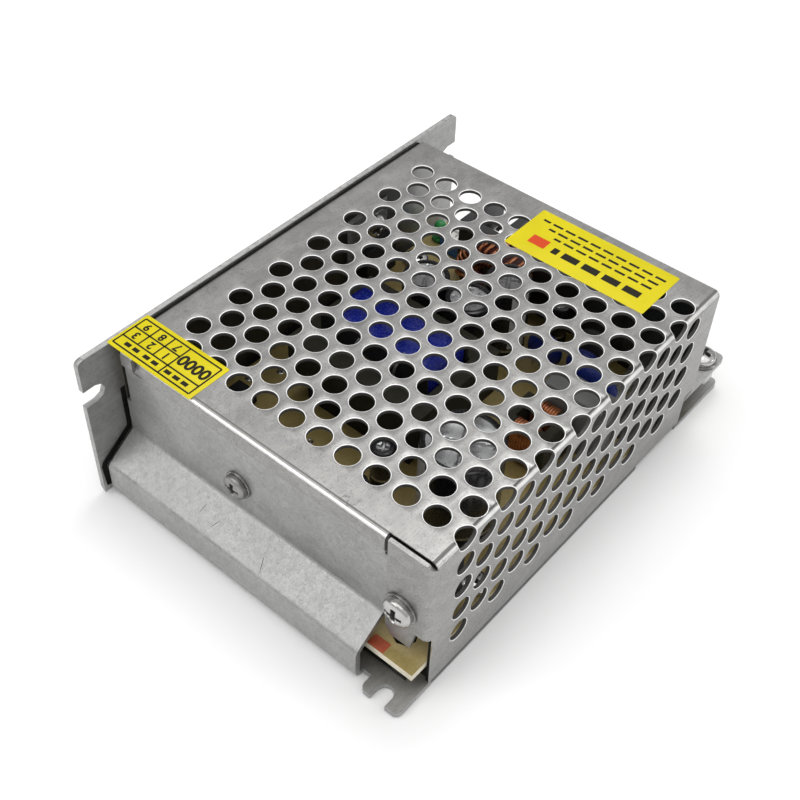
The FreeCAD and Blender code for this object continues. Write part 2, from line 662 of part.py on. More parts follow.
def make_board():
    """Circuit board, its film, spacers and screws."""
    body = new_body("circuit_board")
    near_x = f"(-{END} + board_near)"
    far_x = f"({END} - board_far)"
    right = f"(-{SIDE} + board_side)"
    inner = f"({RISER_Y} + chassis_sheet + 0.5)"
    notch_low = f"({END} - riser_start - riser_length - 0.8)"
    notch_high = f"({END} - riser_start + 0.8)"
    left = f"({WALL_IN} - board_margin)"
    outline = [
        (near_x, right), (notch_low, right), (notch_low, inner), (notch_high, inner), (notch_high, right),
        (far_x, right), (far_x, left), (near_x, left),
    ]
    slab(body, "z", outline, BOARD_LOW, "board_sheet")
    through = (f"{BOARD_LOW} - 1", "board_sheet + 2")
    drill(body, "z", f"{near_x} + tool_hole_end", f"{right} + tool_hole_side", "tool_hole_radius", *through)
    clear = "screw_radius + hole_fit"
    drill(body, "z", f"{END} - ledge_screw_end", f"-{SIDE} + ledge_screw_side", clear, *through)
    spots = [(f"{near_x} + 8", f"{left} - 4"), (f"{far_x} - 18", f"{left} - 4"), (f"{near_x} + 22", f"{right} + 4")]
    for x, y in spots:
        drill(body, "z", x, y, clear, *through)
    keep(body, "circuit_board")
    film = box(f"{near_x} + film_margin", f"{RISER_Y} + chassis_sheet + 1.2", "chassis_sheet",
               f"{far_x} - {near_x} - 2 * film_margin - 4", f"{left} - {RISER_Y} - chassis_sheet - 2 * film_margin",
               "sheet_film")
    keep(cut(film, [prism("z", x, y, 0, "spacer_radius + 0.3", BOARD_LOW, 6) for x, y in spots]), "insulating_film")
    spacers = []
    screws = []
    for x, y in spots:
        tube = prism("z", x, y, "chassis_sheet", "spacer_radius", "board_rise", 6)
        bore = prism("z", x, y, "chassis_sheet + 0.8", "screw_radius + thread_fit", BOARD_LOW)
        spacers.append(cut(tube, [bore]))
        screws.append(stand(screw("board_sheet + board_rise - 1.2", recessed=False), UP, x, y, BOARD_TOP))
    keep(group(spacers), "board_spacers")
    keep(group(screws), "board_screws")


def device(x, y, z, facing):
    """A three-lead power device: moulded body, and metal tab with leads, its back against a wall.

    facing is the direction that its front looks: x with the wall behind it in -X, y with the wall in +Y.
    """
    plate_tall = "(device_tall + device_plate)"
    hole_z = f"{z} + device_tall + device_plate - 2.7"
    lead_tall = f"{z} - {BOARD_TOP}"
    steps = (-DEVICE_PITCH, 0, DEVICE_PITCH)
    if facing == "x":
        body = box(f"{x} + device_sheet", f"{y} - device_wide / 2", z, "device_deep - device_sheet", "device_wide",
                   "device_tall")
        plate = [
            box(x, f"{y} - device_wide / 2", z, "device_sheet", "device_wide", plate_tall),
            box(x, f"{y} - device_wide / 2", f"{z} + device_tall", "device_tab", "device_wide", "device_plate"),
        ]
        hole = prism("x", f"{x} - 1", y, hole_z, "screw_radius + 0.35", "device_deep")
        leads = [box(f"{x} + 2.3", f"{y} - 0.4 + {step}", BOARD_TOP, 0.5, 0.8, lead_tall) for step in steps]
    else:
        body = box(f"{x} - device_wide / 2", f"{y} - device_deep", z, "device_wide", "device_deep - device_sheet",
                   "device_tall")
        plate = [
            box(f"{x} - device_wide / 2", f"{y} - device_sheet", z, "device_wide", "device_sheet", plate_tall),
            box(f"{x} - device_wide / 2", f"{y} - device_tab", f"{z} + device_tall", "device_wide", "device_tab",
                "device_plate"),
        ]
        hole = prism("y", x, f"{y} - device_deep", hole_z, "screw_radius + 0.35", "device_deep + 1")
        leads = [box(f"{x} - 0.4 + {step}", f"{y} - 2.8", BOARD_TOP, 0.8, 0.5, lead_tall) for step in steps]
    return body, cut(fuse(plate), [hole]), leads


def make_devices():
    """Power transistors clamped to the end wall, rectifier screwed to the side wall."""
    low_z = f"({BOARD_TOP} + device_rise)"
    bodies = []
    metal = []
    for side in ("-", "+"):
        body, plate, leads = device(f"({HEAD_IN} + pad_sheet)", f"(end_screw_side {side} device_step)", low_z, "x")
        bodies.append(body)
        metal += [plate] + leads
    keep(group(bodies), "transistor_bodies")
    keep(group(metal), "transistor_tabs")
    bar_low = "(end_screw_side - device_step - device_wide / 2 + 0.6)"
    bar = box(BAR_X, bar_low, "end_screw_height - 6.8", "bar_sheet", f"2 * (end_screw_side - {bar_low})", 8.8)
    thread = prism("x", f"{BAR_X} - 1", "end_screw_side", "end_screw_height", "screw_radius + thread_fit", 5)
    keep(cut(bar, [thread]), "clamp_bar")
    pad_low = "(end_screw_side - device_step - device_wide / 2 - 0.9)"
    pad = box(HEAD_IN, pad_low, f"{low_z} - 0.2", "pad_sheet", f"2 * (end_screw_side - {pad_low})",
              "device_tall + device_plate + 0.9")
    clear = "screw_radius + hole_fit"
    pad = cut(pad, [prism("x", f"{HEAD_IN} - 1", "end_screw_side", "end_screw_height", clear, 5)])
    wall_pad = box("rectifier_x - device_wide / 2 - 1.4", f"{WALL_IN} - pad_sheet", f"{low_z} - 0.2",
                   "device_wide + 2.8", "pad_sheet", "device_tall + device_plate + 1.5")
    wall_pad = cut(wall_pad, [prism("y", "rectifier_x", f"{WALL_IN} - 3", RECTIFIER_SCREW_Z, clear, 5)])
    keep(group([pad, wall_pad]), "insulating_pads")
    body, plate, leads = device("rectifier_x", f"({WALL_IN} - pad_sheet)", low_z, "y")
    keep(body, "rectifier_body")
    keep(group([plate] + leads), "rectifier_tab")
    through = screw("device_tab + pad_sheet + chassis_sheet")
    keep(stand(through, TO_RIGHT, "rectifier_x", f"{WALL_IN} - pad_sheet - device_tab", RECTIFIER_SCREW_Z),
         "rectifier_screw")


def make_terminals():
    """Barrier terminal block with its contacts, clamps and screws."""
    body = new_body("terminal_housing")
    length = f"({WAYS} * way_pitch + way_wall)"
    start = f"(block_centre - {length} / 2)"
    top = f"({BOARD_TOP} + block_height)"
    profile = [
        (BLOCK_BACK, BOARD_TOP), (BLOCK_X, BOARD_TOP), (BLOCK_X, f"{top} - 4"), (f"{BLOCK_X} - 3", top),
        (BLOCK_BACK, top),
    ]
    slab(body, "y", profile, start, length)
    first = way_y(0)
    gap = "(way_pitch - way_wall) / 2"
    well = slab(body, "z", [
        (f"{BLOCK_BACK} + block_back", f"{first} - {gap}"), (f"{BLOCK_X} + 1", f"{first} - {gap}"),
        (f"{BLOCK_X} + 1", f"{first} + {gap}"), (f"{BLOCK_BACK} + block_back", f"{first} + {gap}"),
    ], DECK, "block_height", True)
    ways = ("Y_Axis", f"{WAYS - 1} * way_pitch", WAYS)
    repeat(body, well, [ways])
    bore_low = f"{DECK} - terminal_shank + contact_sheet - 0.4"
    bore = drill(body, "z", SCREW_X, first, "screw_radius + 0.4", bore_low, "terminal_shank + 2")
    repeat(body, bore, [ways])
    slot_x = f"({BLOCK_BACK} + block_back + 0.6)"
    tail = slab(body, "z", [
        (slot_x, f"{first} - tail_width / 2"), (f"{slot_x} + contact_sheet", f"{first} - tail_width / 2"),
        (f"{slot_x} + contact_sheet", f"{first} + tail_width / 2"), (slot_x, f"{first} + tail_width / 2"),
    ], f"{BOARD_TOP} - 1", "deck_height + 2", True)
    repeat(body, tail, [ways])
    keep(body, "terminal_housing")
    contacts = []
    seat = f"({DECK} + contact_sheet)"
    for way in range(WAYS):
        y = way_y(way)
        plate = box(slot_x, f"{y} - clamp_size / 2", DECK, f"{SCREW_X} + 4.2 - {slot_x}", "clamp_size",
                    "contact_sheet")
        leg = box(slot_x, f"{y} - tail_width / 2 + 0.1", BOARD_TOP, "contact_sheet", "tail_width - 0.2",
                  "deck_height + contact_sheet / 2")
        hole = prism("z", SCREW_X, y, f"{DECK} - 1", "screw_radius + thread_fit", "contact_sheet + 2")
        contacts.append(cut(fuse([plate, leg]), [hole]))
        clamp = box(f"{SCREW_X} - clamp_size / 2", f"{y} - clamp_size / 2", seat, "clamp_size", "clamp_size",
                    "clamp_sheet")
        hole = prism("z", SCREW_X, y, f"{seat} - 1", "screw_radius + hole_fit", "clamp_sheet + 2")
        keep(cut(clamp, [hole]), f"terminal_clamp_{way + 1}")
        turned = screw("clamp_sheet + terminal_shank", "terminal_head", "terminal_head_height")
        keep(stand(turned, UP, SCREW_X, y, f"{seat} + clamp_sheet"), f"terminal_screw_{way + 1}")
    keep(group(contacts), "terminal_contacts")


def make_indicators():
    """Voltage trimmer and status lamp beside the terminal block."""
    x, y = f"({END} - trimmer_end)", "trimmer_side"
    half = "trimmer_size / 2"
    base = box(f"{x} - {half}", f"{y} - {half}", BOARD_TOP, "trimmer_size", "trimmer_size", "trimmer_height")
    floor = f"{BOARD_TOP} + trimmer_height - 1.2"
    keep(cut(base, [rod("z", x, y, floor, "rotor_radius + 0.1", 2)]), "trimmer_body")
    rotor = rod("z", x, y, f"{floor} + 0.02", "rotor_radius", "rotor_height")
    long_slot, slot_low = "1.44 * rotor_radius", f"{floor} + rotor_height / 2"
    slots = [box(f"{x} - {long_slot} / 2", f"{y} - 0.3", slot_low, long_slot, 0.6, 2),
             box(f"{x} - 0.3", f"{y} - {long_slot} / 2", slot_low, 0.6, long_slot, 2)]
    keep(cut(rotor, slots), "trimmer_rotor")
    lamp_y = "(trimmer_side + 5.8)"
    base = prism("z", x, lamp_y, BOARD_TOP, "lamp_radius + 0.4", 1, 10)
    stem = prism("z", x, lamp_y, BOARD_TOP, "lamp_radius", "lamp_height - 1", 10)
    tip = prism("z", x, lamp_y, BOARD_TOP, "0.72 * lamp_radius", "lamp_height", 10)
    keep(fuse([base, stem, tip]), "status_lamp")


def disc(x, y, radius, thick):
    """A dipped disc standing on edge on two short legs, facing along X."""
    body = prism("x", x - thick / 2, y, f"{BOARD_TOP} + {radius + 1.5}", radius, thick, DISC_SIDES)
    legs = [box(x - 0.3, y + shift, BOARD_TOP, 0.6, 0.6, radius) for shift in (-2.8, 2.2)]
    return fuse([body] + legs)


def make_line_side():
    """Fuse, inrush limiter, surge disc, filter capacitors, choke and bridge."""
    fuse_z = f"({BOARD_TOP} + 2.3)"
    keep(prism("x", "fuse_x + cap_length", "fuse_y", fuse_z, "fuse_radius - 0.3", "fuse_length - 2 * cap_length", 12),
         "fuse_tube")
    caps = []
    far_cap = "fuse_x + fuse_length - cap_length"
    for low, lead in (("fuse_x", "fuse_x + 0.5"), (far_cap, "fuse_x + fuse_length - 1.3")):
        cap = prism("x", low, "fuse_y", fuse_z, "fuse_radius", "cap_length", 12)
        caps.append(fuse([cap, box(lead, "fuse_y - 0.4", BOARD_TOP, 0.8, 0.8, f"{fuse_z} - {BOARD_TOP}")]))
    keep(group(caps), "fuse_caps")
    keep(disc(x=32.5, y=-18.5, radius=4.8, thick=4.6), "inrush_limiter")
    keep(disc(x=21.0, y=-25.5, radius=6.4, thick=4.4), "surge_disc")
    keep(group([
        disc(x=26.8, y=-20.6, radius=4.6, thick=3.6),
        disc(x=26.4, y=-10.6, radius=4.2, thick=3.4),
    ]), "safety_capacitors")
    keep(box(10.6, -35.2, BOARD_TOP, 6.2, 15, 14.2), "film_capacitor")
    make_line_choke(x=0.4, y=-28.6)
    bridge = box(-36.4, -35.0, f"{BOARD_TOP} + 2.2", 3.6, 17, 13)
    legs = [box(-35.0, -34 + 4.6 * k, BOARD_TOP, 0.8, 1.2, 2.2) for k in range(4)]
    keep(fuse([bridge] + legs), "bridge_rectifier")


def make_line_choke(x, y):
    """Square ferrite frame on two feet, with a coil on each leg."""
    long_x, long_y, leg_x, leg_y = 9.4, 10.8, 2.5, 2.0
    tall = 9.4
    low_z = f"{BOARD_TOP} + 1.2"
    frame = box(x, y, low_z, long_x, long_y, tall)
    window = box(x + leg_x, y + leg_y, BOARD_TOP, long_x - 2 * leg_x, long_y - 2 * leg_y, tall + 3)
    feet = [box(x, y + shift, BOARD_TOP, long_x, leg_y, 1.2) for shift in (0, long_y - leg_y)]
    keep(fuse([cut(frame, [window])] + feet), "line_choke_core")
    coils = []
    for low in (x, x + long_x - leg_x):
        leg = box(low, y, low_z, leg_x, long_y, tall)
        turns = box(low - 0.5, y + leg_y + 0.4, f"{BOARD_TOP} + 0.7", leg_x + 1, 6, tall + 1)
        coils.append(cut(turns, [leg]))
    keep(group(coils), "line_choke_coils")


def make_capacitor(x, y, radius, tall, sides):
    """An electrolytic can with a scored top, and the sleeve shrunk round it."""
    can = prism("z", x, y, BOARD_TOP, f"{radius} - sleeve_sheet", tall - 0.2, sides)
    long_score, low_z = 1.2 * radius, f"{BOARD_TOP} + {tall} - 0.5"
    scores = [box(x - 0.25, y - long_score / 2, low_z, 0.5, long_score, 1),
              box(x - long_score / 2, y - 0.25, low_z, long_score, 0.5, 1)]
    outer = prism("z", x, y, BOARD_TOP, radius, tall, sides)
    inner = prism("z", x, y, f"{BOARD_TOP} - 1", f"{radius} - sleeve_sheet", tall + 2, sides)
    return cut(can, scores), cut(outer, [inner])


def make_capacitors():
    """Input and output electrolytic capacitors."""
    can, sleeve = make_capacitor(x=-18.0, y=-22.2, radius=8.0, tall=22.0, sides=18)
    keep(can, "input_capacitor_can")
    keep(sleeve, "input_capacitor_sleeve")
    cans = []
    sleeves = []
    for x, y in ((15.2, 13.6), (15.4, 2.4), (25.7, 0.0)):
        can, sleeve = make_capacitor(x, y, radius=5.0, tall=19.6, sides=12)
        cans.append(can)
        sleeves.append(sleeve)
    keep(group(cans), "output_capacitor_cans")
    keep(group(sleeves), "output_capacitor_sleeves")


def make_transformer():
    """Ferrite core, bobbin with its rails, and the taped winding."""
    low_x, high_x = -15.8, 9.5
    low_y, high_y = -10.5, 24.0
    mid_low, mid_high = 1.5, 12.0
    yoke, leg, wall = 6.0, 3.4, 0.7
    core_tall = 11.0
    core_z = f"({BOARD_TOP} + 6.1)"
    inner_x = low_x + yoke
    window = high_x - low_x - 2 * yoke
    core = box(low_x, low_y, core_z, high_x - low_x, high_y - low_y, core_tall)
    windows = [box(inner_x, low_y + leg, f"{core_z} - 1", window, mid_low - low_y - leg, core_tall + 2),
               box(inner_x, mid_high, f"{core_z} - 1", window, high_y - leg - mid_high, core_tall + 2)]
    keep(cut(core, windows), "transformer_core")
    low_z, tall = f"({BOARD_TOP} + 2.2)", 20.2
    side_y, across = low_y + leg + 0.2, high_y - low_y - 2 * leg - 0.4
    flange_x = inner_x + 0.1
    far_flange_x = inner_x + window - wall - 0.1
    flanges = [box(x, side_y, low_z, wall, across, tall) for x in (flange_x, far_flange_x)]
    tube_wide = mid_high - mid_low + 1.6
    tube = box(flange_x, mid_low - 0.8, f"{core_z} - 0.8", window - 0.2, tube_wide, core_tall + 1.6)
    rail = yoke - 1
    rails = [box(x, side_y, BOARD_TOP, rail, across, 3.2) for x in (flange_x + wall - rail, far_flange_x)]
    bore = box(low_x, mid_low - 0.1, f"{core_z} - 0.1", high_x - low_x, mid_high - mid_low + 0.2, core_tall + 0.2)
    keep(cut(fuse(flanges + [tube] + rails), [bore]), "transformer_bobbin")
    coil = box(flange_x + wall, side_y + 0.3, f"{low_z} + 0.4", window - 0.2 - 2 * wall, across - 0.6, tall - 0.2)

    def lengthwise(a, b):
        """Edges along X."""
        return abs(a.y - b.y) < 0.01 and abs(a.z - b.z) < 0.01

    hollow = box(inner_x, mid_low - 0.8, f"{core_z} - 0.8", window, tube_wide, core_tall + 1.6)
    keep(cut(soften(coil, 3.0, lengthwise), [hollow]), "transformer_winding")


def ring(x, y, z, outer, inner, thick):
    """A many-sided ring that faces along X."""
    hole = prism("x", f"{x} - 1", y, z, inner, f"{thick} + 2", RING_SIDES)
    return cut(prism("x", x, y, z, outer, thick, RING_SIDES), [hole])


def make_output_choke():
    """Toroid on edge with its winding."""
    x, y, z = 31.8, 9.6, f"({BOARD_TOP} + choke_radius + 1)"
    outer, inner, thick, wire = "choke_radius", "0.59 * choke_radius", 5.4, "0.8"
    keep(ring(x, y, z, outer, inner, thick), "output_choke_core")
    sheath = ring(f"{x} - {wire}", y, z, f"{outer} + {wire}", f"{inner} - {wire}", f"{thick} + 2 * {wire}")
    keep(cut(sheath, [ring(x, y, z, outer, inner, thick)]), "output_choke_winding")


def chip(x, y, long_y, pins):
    """A chip in a two-row package, its rows of pins along Y."""
    body = box(x - 3.2, y - long_y / 2, f"{BOARD_TOP} + 0.4", 6.4, long_y, 3.3)
    legs = []
    for k in range(pins):
        spot = y + (k - (pins - 1) / 2) * DEVICE_PITCH - 0.4
        legs += [box(side, spot, BOARD_TOP, 0.7, 0.8, 2.2) for side in (x - 3.9, x + 3.2)]
    return fuse([body] + legs)


def resistor(x, y, long_x, radius):
    """A resistor lying along X over the board, on two bent leads."""
    z = f"{BOARD_TOP} + {radius + 0.2}"
    barrel = prism("x", x, y, z, radius, long_x, 10)
    wire = box(x - 1.8, y - 0.3, f"{z} - 0.3", long_x + 3.6, 0.6, 0.6)
    feet = [box(end, y - 0.3, BOARD_TOP, 0.6, 0.6, radius + 0.2) for end in (x - 1.8, x + long_x + 1.2)]
    return fuse([barrel, wire] + feet)


def make_small_parts():
    """Controller, optocoupler, resistors and small capacitors."""
    keep(chip(x=-30.0, y=3.0, long_y=9.6, pins=4), "control_chip")
    keep(chip(x=-25.0, y=30.0, long_y=5.0, pins=2), "optocoupler")
    keep(group([
        resistor(x=-38.0, y=26.0, long_x=9.0, radius=1.6),
        resistor(x=-34.0, y=18.5, long_x=6.4, radius=1.2),
        resistor(x=-36.0, y=-13.2, long_x=6.4, radius=1.2),
        resistor(x=6.0, y=30.0, long_x=9.0, radius=1.6),
    ]), "resistors")
    spots = ((-31.0, -8.0), (-21.0, -6.0), (35.0, -7.6))
    keep(group([prism("z", x, y, BOARD_TOP, 2.5, 11, 12) for x, y in spots]), "small_capacitors")


def make_labels():
    """Two thin stickers on the top."""
    left = f"({SIDE} - 0.6)"
    keep(box(COVER_NEAR, f"{left} - date_label_width", "case_height", 10, "date_label_width", "label_sheet"),
         "date_label")
    keep(box(f"{COVER_FAR} - 16", f"-{SIDE} + 8", "case_height", 14, "top_label_width", "label_sheet"), "top_label")


def export_parts():
    """Check every object and write one file for each sub-part."""
    doc.recompute()
    bad = [f"{o.Label}: {o.State}" for o in doc.Objects if "Invalid" in o.State or "Error" in o.State]
    for thing in parts:
        if thing.Shape.isNull() or not thing.Shape.isValid() or not thing.Shape.Solids:
            bad.append(f"{thing.Label}: shape")
    if bad:
        raise SystemExit("failed: " + "; ".join(bad))
    os.makedirs("parts", exist_ok=True)
    for thing in parts:
        thing.Shape.exportStep(f"parts/{thing.Label}.step")
        print(thing.Label, len(thing.Shape.Solids), round(thing.Shape.Volume, 1))


make_chassis()
make_case_screws()
make_board()
make_devices()
make_terminals()
make_indicators()
make_line_side()
make_capacitors()
make_transformer()
make_output_choke()
make_small_parts()
make_labels()
make_cover()
export_parts()
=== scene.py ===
"""Looks of a mesh case switching power supply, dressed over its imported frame.

The part's own frame has +X towards the terminal end, +Y towards the tall side wall and +Z up. Sizes are in
millimetres, and MM turns them into the metres of the scene. Lamps and floor are given in metres.
"""

import json
import logging
import math
from dataclasses import dataclass
from enum import Enum
from typing import ClassVar, Iterable, Sequence

import bmesh
import bpy
import numpy as np
from mathutils import Matrix, Vector

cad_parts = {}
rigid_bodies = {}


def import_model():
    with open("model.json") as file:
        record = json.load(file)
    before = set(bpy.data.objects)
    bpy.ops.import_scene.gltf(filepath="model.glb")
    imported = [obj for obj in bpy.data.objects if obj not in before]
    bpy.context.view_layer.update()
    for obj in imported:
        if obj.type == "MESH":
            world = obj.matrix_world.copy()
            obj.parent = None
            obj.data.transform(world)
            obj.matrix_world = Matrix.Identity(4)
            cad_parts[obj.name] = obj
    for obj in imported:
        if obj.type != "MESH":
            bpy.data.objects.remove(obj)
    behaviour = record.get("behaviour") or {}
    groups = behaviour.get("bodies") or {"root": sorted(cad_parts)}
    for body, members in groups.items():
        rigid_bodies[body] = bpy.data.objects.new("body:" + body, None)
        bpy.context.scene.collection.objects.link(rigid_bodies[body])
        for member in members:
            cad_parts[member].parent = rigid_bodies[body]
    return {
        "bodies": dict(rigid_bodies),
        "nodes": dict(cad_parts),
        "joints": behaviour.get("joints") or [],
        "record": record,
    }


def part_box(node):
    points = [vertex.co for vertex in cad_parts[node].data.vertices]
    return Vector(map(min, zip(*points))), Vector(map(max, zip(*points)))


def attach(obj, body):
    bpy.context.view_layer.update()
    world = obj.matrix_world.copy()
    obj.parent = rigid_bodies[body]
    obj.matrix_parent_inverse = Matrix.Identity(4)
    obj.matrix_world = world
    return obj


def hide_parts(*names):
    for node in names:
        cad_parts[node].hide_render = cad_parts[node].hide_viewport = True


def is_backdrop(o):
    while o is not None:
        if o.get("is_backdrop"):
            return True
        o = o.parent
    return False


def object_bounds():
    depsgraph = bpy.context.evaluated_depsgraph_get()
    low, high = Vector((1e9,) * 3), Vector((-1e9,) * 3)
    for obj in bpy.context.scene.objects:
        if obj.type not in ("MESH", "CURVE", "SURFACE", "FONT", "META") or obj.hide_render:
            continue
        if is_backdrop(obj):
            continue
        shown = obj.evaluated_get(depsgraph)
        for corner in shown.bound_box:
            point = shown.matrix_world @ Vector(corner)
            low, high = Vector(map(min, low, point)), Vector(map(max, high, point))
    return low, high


MM = 0.001
BOARD_TOP = 7.4
BEND_STEPS = 5
LOG = logging.getLogger("power_supply")
Array = np.ndarray
Socket = bpy.types.NodeSocket
Tone = tuple[float, float, float]
Spot = tuple[float, float, float]
Pair = tuple[float, float]


class Axis(Enum):
    """Direction that a turned piece looks along, held as the rotation that carries +Z onto it."""

    UP = ((1, 0, 0), (0, 1, 0), (0, 0, 1))
    NEAR = ((0, 0, -1), (0, 1, 0), (1, 0, 0))
    FAR = ((0, 0, 1), (0, 1, 0), (-1, 0, 0))
    RIGHT = ((1, 0, 0), (0, 0, -1), (0, 1, 0))


# Surfaces


@dataclass
class Surface:
    """Vertices and four-sided faces of a piece, as whole arrays in millimetres.

    marks holds the number of each face's finish, where a piece has more than one.
    """

    points: Array
    quads: Array
    marks: Array | None = None

    @classmethod
    def grid(cls, points: Array, closed: bool = False) -> "Surface":
        """A surface over two parameters: face (i, j) joins points (i, j), (i+1, j), (i+1, j+1), (i, j+1).

        Args:
            points: Places of shape (rows, columns, 3).
            closed: Whether each row runs round to its own start.

        Returns:
            The surface, its poles still open as rows of equal points.
        """
        rows, columns = points.shape[:2]
        i = np.arange(rows - 1)[:, None] * columns
        j = np.arange(columns if closed else columns - 1)[None, :]
        on = (j + 1) % columns
        quads = np.stack([i + j, i + columns + j, i + columns + on, i + on], axis=-1)
        return cls(points.reshape(-1, 3), quads.reshape(-1, 4))

    @classmethod
    def joined(cls, surfaces: Iterable["Surface"]) -> "Surface":
        """Several surfaces as one, each one's vertex numbers moved up past the ones before it."""
        found = list(surfaces)
        starts = np.cumsum([0] + [len(s.points) for s in found[:-1]])
        quads = np.concatenate([s.quads + start for s, start in zip(found, starts)])
        marks = np.concatenate([np.zeros(len(s.quads)) if s.marks is None else s.marks for s in found])
        return cls(np.concatenate([s.points for s in found]), quads, marks)

    def placed(self, axis: Axis, spot: Sequence[float]) -> "Surface":
        """The surface turned to look along an axis and moved to a spot."""
        return Surface(self.points @ np.array(axis.value, float).T + np.array(spot), self.quads, self.marks)

    def moved(self, x: float, y: float, z: float) -> "Surface":
        """The surface moved."""
        return self.placed(Axis.UP, (x, y, z))


def around(steps: int) -> Array:
    """Angles that go once round in even steps."""
    return np.linspace(0, 2 * math.pi, steps, endpoint=False)


def round_axis(radius: Array, height: Array, t: Array) -> Array:
    """Places (r cos t, r sin t, z), with one row for each ring and one column for each angle t."""
    r, z, t = np.broadcast_arrays(radius, height, t)
    return np.stack([r * np.cos(t), r * np.sin(t), z], axis=-1)


def lathe(profile: Sequence[Pair], segments: int) -> Surface:
    """A surface of revolution: x = r(k) cos t, y = r(k) sin t, z = z(k), t going round once.

    Args:
        profile: Radius and height of each ring, from one end of the solid to the other.
        segments: Steps round the axis.

    Returns:
        The surface, closed when the profile starts and ends on the axis.
    """
    rings = np.array(profile, float)
    return Surface.grid(round_axis(rings[:, :1], rings[:, 1:], around(segments)), closed=True)


def rounded_outline(wide: float, deep: float, corner: float, steps: int = 3) -> Array:
    """A rectangle with round corners, as places in order round it.

    Each corner is a quarter circle: centre + corner * (cos t, sin t), with t over that quarter.
    """
    corner = min(corner, 0.499 * wide, 0.499 * deep)
    t = np.linspace(0, math.pi / 2, steps + 1)
    quarters = []
    for k, (a, b) in enumerate(((1, 1), (-1, 1), (-1, -1), (1, -1))):
        angle = t + k * math.pi / 2
        centre = np.array([a * (wide / 2 - corner), b * (deep / 2 - corner)])
        quarters.append(centre + corner * np.stack([np.cos(angle), np.sin(angle)], axis=-1))
    return np.concatenate(quarters)


def carried(outlines: Sequence[Array], levels: Array) -> Array:
    """Outlines of two coordinates with a third one, and an end closed to the middle before and after them.

    Args:
        outlines: Each ring's places, of shape (count, 2).
        levels: The third coordinate of each ring and of both ends.

    Returns:
        Places of shape (rings and ends, count, 3), the third coordinate last.
    """
    pole = np.zeros_like(outlines[0])
    flat = np.stack([pole, *outlines, pole])
    return np.concatenate([flat, np.broadcast_to(levels[:, None, None], (*flat.shape[:2], 1))], axis=-1)


def rounded_block(low: Sequence[float], high: Sequence[float], corner: float, edge: float) -> Surface:
    """A block between two corners, with round upright corners and bevelled ends.

    A rounded rectangle is carried up Z; near each end it is drawn in by edge * (1 - sin a) while it
    rises by edge * (1 - cos a), so the rims are quarter rounds, and each end closes to its middle.
    """
    low, high = np.array(low, float), np.array(high, float)
    wide, deep, tall = high - low
    edge = min(edge, 0.45 * min(wide, deep, tall))
    a = np.linspace(0, math.pi / 2, 4)
    insets = edge * (1 - np.sin(np.concatenate([a, a[::-1]])))
    rise = edge * (1 - np.cos(a))
    levels = np.concatenate([[0.0], rise, tall - rise[::-1], [tall]])
    rings = [rounded_outline(wide - 2 * inset, deep - 2 * inset, max(corner - inset, 0.02)) for inset in insets]
    middle = np.array([(low[0] + high[0]) / 2, (low[1] + high[1]) / 2, low[2]])
    return Surface.grid(carried(rings, levels) + middle, closed=True)


def patch(low: Spot, high: Spot) -> Surface:
    """A flat rectangle between two corners that share one coordinate."""
    level = int(np.argmin(np.abs(np.subtract(high, low))))
    across = 1 if level == 0 else 0
    corners = np.array([[low, low], [high, high]], float)
    corners[:, 0, across] = low[across]
    corners[:, 1, across] = high[across]
    return Surface.grid(corners)


def tube(path: Array, radius: float, sides: int = 8) -> Surface:
    """A round wire along a path: p(s) + r (n(s) cos t + b(s) sin t), its ends closed to its middle.

    n is the part of a fixed direction that stands square to the path, and b = path direction x n.

    Args:
        path: Places along the middle, of shape (count, 3).
        radius: Radius of the wire.
        sides: Steps round the wire.

    Returns:
        The closed surface.
    """
    ahead = np.gradient(path, axis=0)
    ahead /= np.linalg.norm(ahead, axis=1, keepdims=True)
    fixed = np.eye(3)[int(np.argmin(np.abs(ahead).mean(axis=0)))]
    n = fixed - (ahead @ fixed)[:, None] * ahead
    n /= np.linalg.norm(n, axis=1, keepdims=True)
    b = np.cross(ahead, n)
    t = around(sides)[None, :, None]
    rings = path[:, None] + radius * (n[:, None] * np.cos(t) + b[:, None] * np.sin(t))
    ends = np.broadcast_to(path[[0, -1], None], (2, sides, 3))
    return Surface.grid(np.concatenate([ends[:1], rings, ends[1:]]), closed=True)


def bent_lead(corners: Sequence[Spot], radius: float) -> Surface:
    """A wire through rounded corners.

    Between the places a and c on two runs, with their corner b, the path is
    (1-s)^2 a + 2 s (1-s) b + s^2 c, with a and c close to b to keep the bend tight.
    """
    corners = np.array(corners, float)
    path = [corners[0]]
    s = np.linspace(0, 1, BEND_STEPS)[:, None]
    for before, here, after in zip(corners, corners[1:], corners[2:]):
        back, on = np.linalg.norm(before - here), np.linalg.norm(after - here)
        reach = min(3 * radius, 0.45 * back, 0.45 * on)
        a = here + reach * (before - here) / back
        c = here + reach * (after - here) / on
        path.extend((1 - s) ** 2 * a + 2 * s * (1 - s) * here + s**2 * c)
    path.append(corners[-1])
    return tube(np.array(path), radius)


def squared_off(value: Array, power: float) -> Array:
    """A sine or cosine with its peaks flattened: sign(v) |v|^power."""
    return np.sign(value) * np.abs(value) ** power


# Finishes


def scaled(tone: Tone, share: float) -> Tone:
    """A colour made darker or lighter."""
    return tuple(min(1.0, share * c) for c in tone)


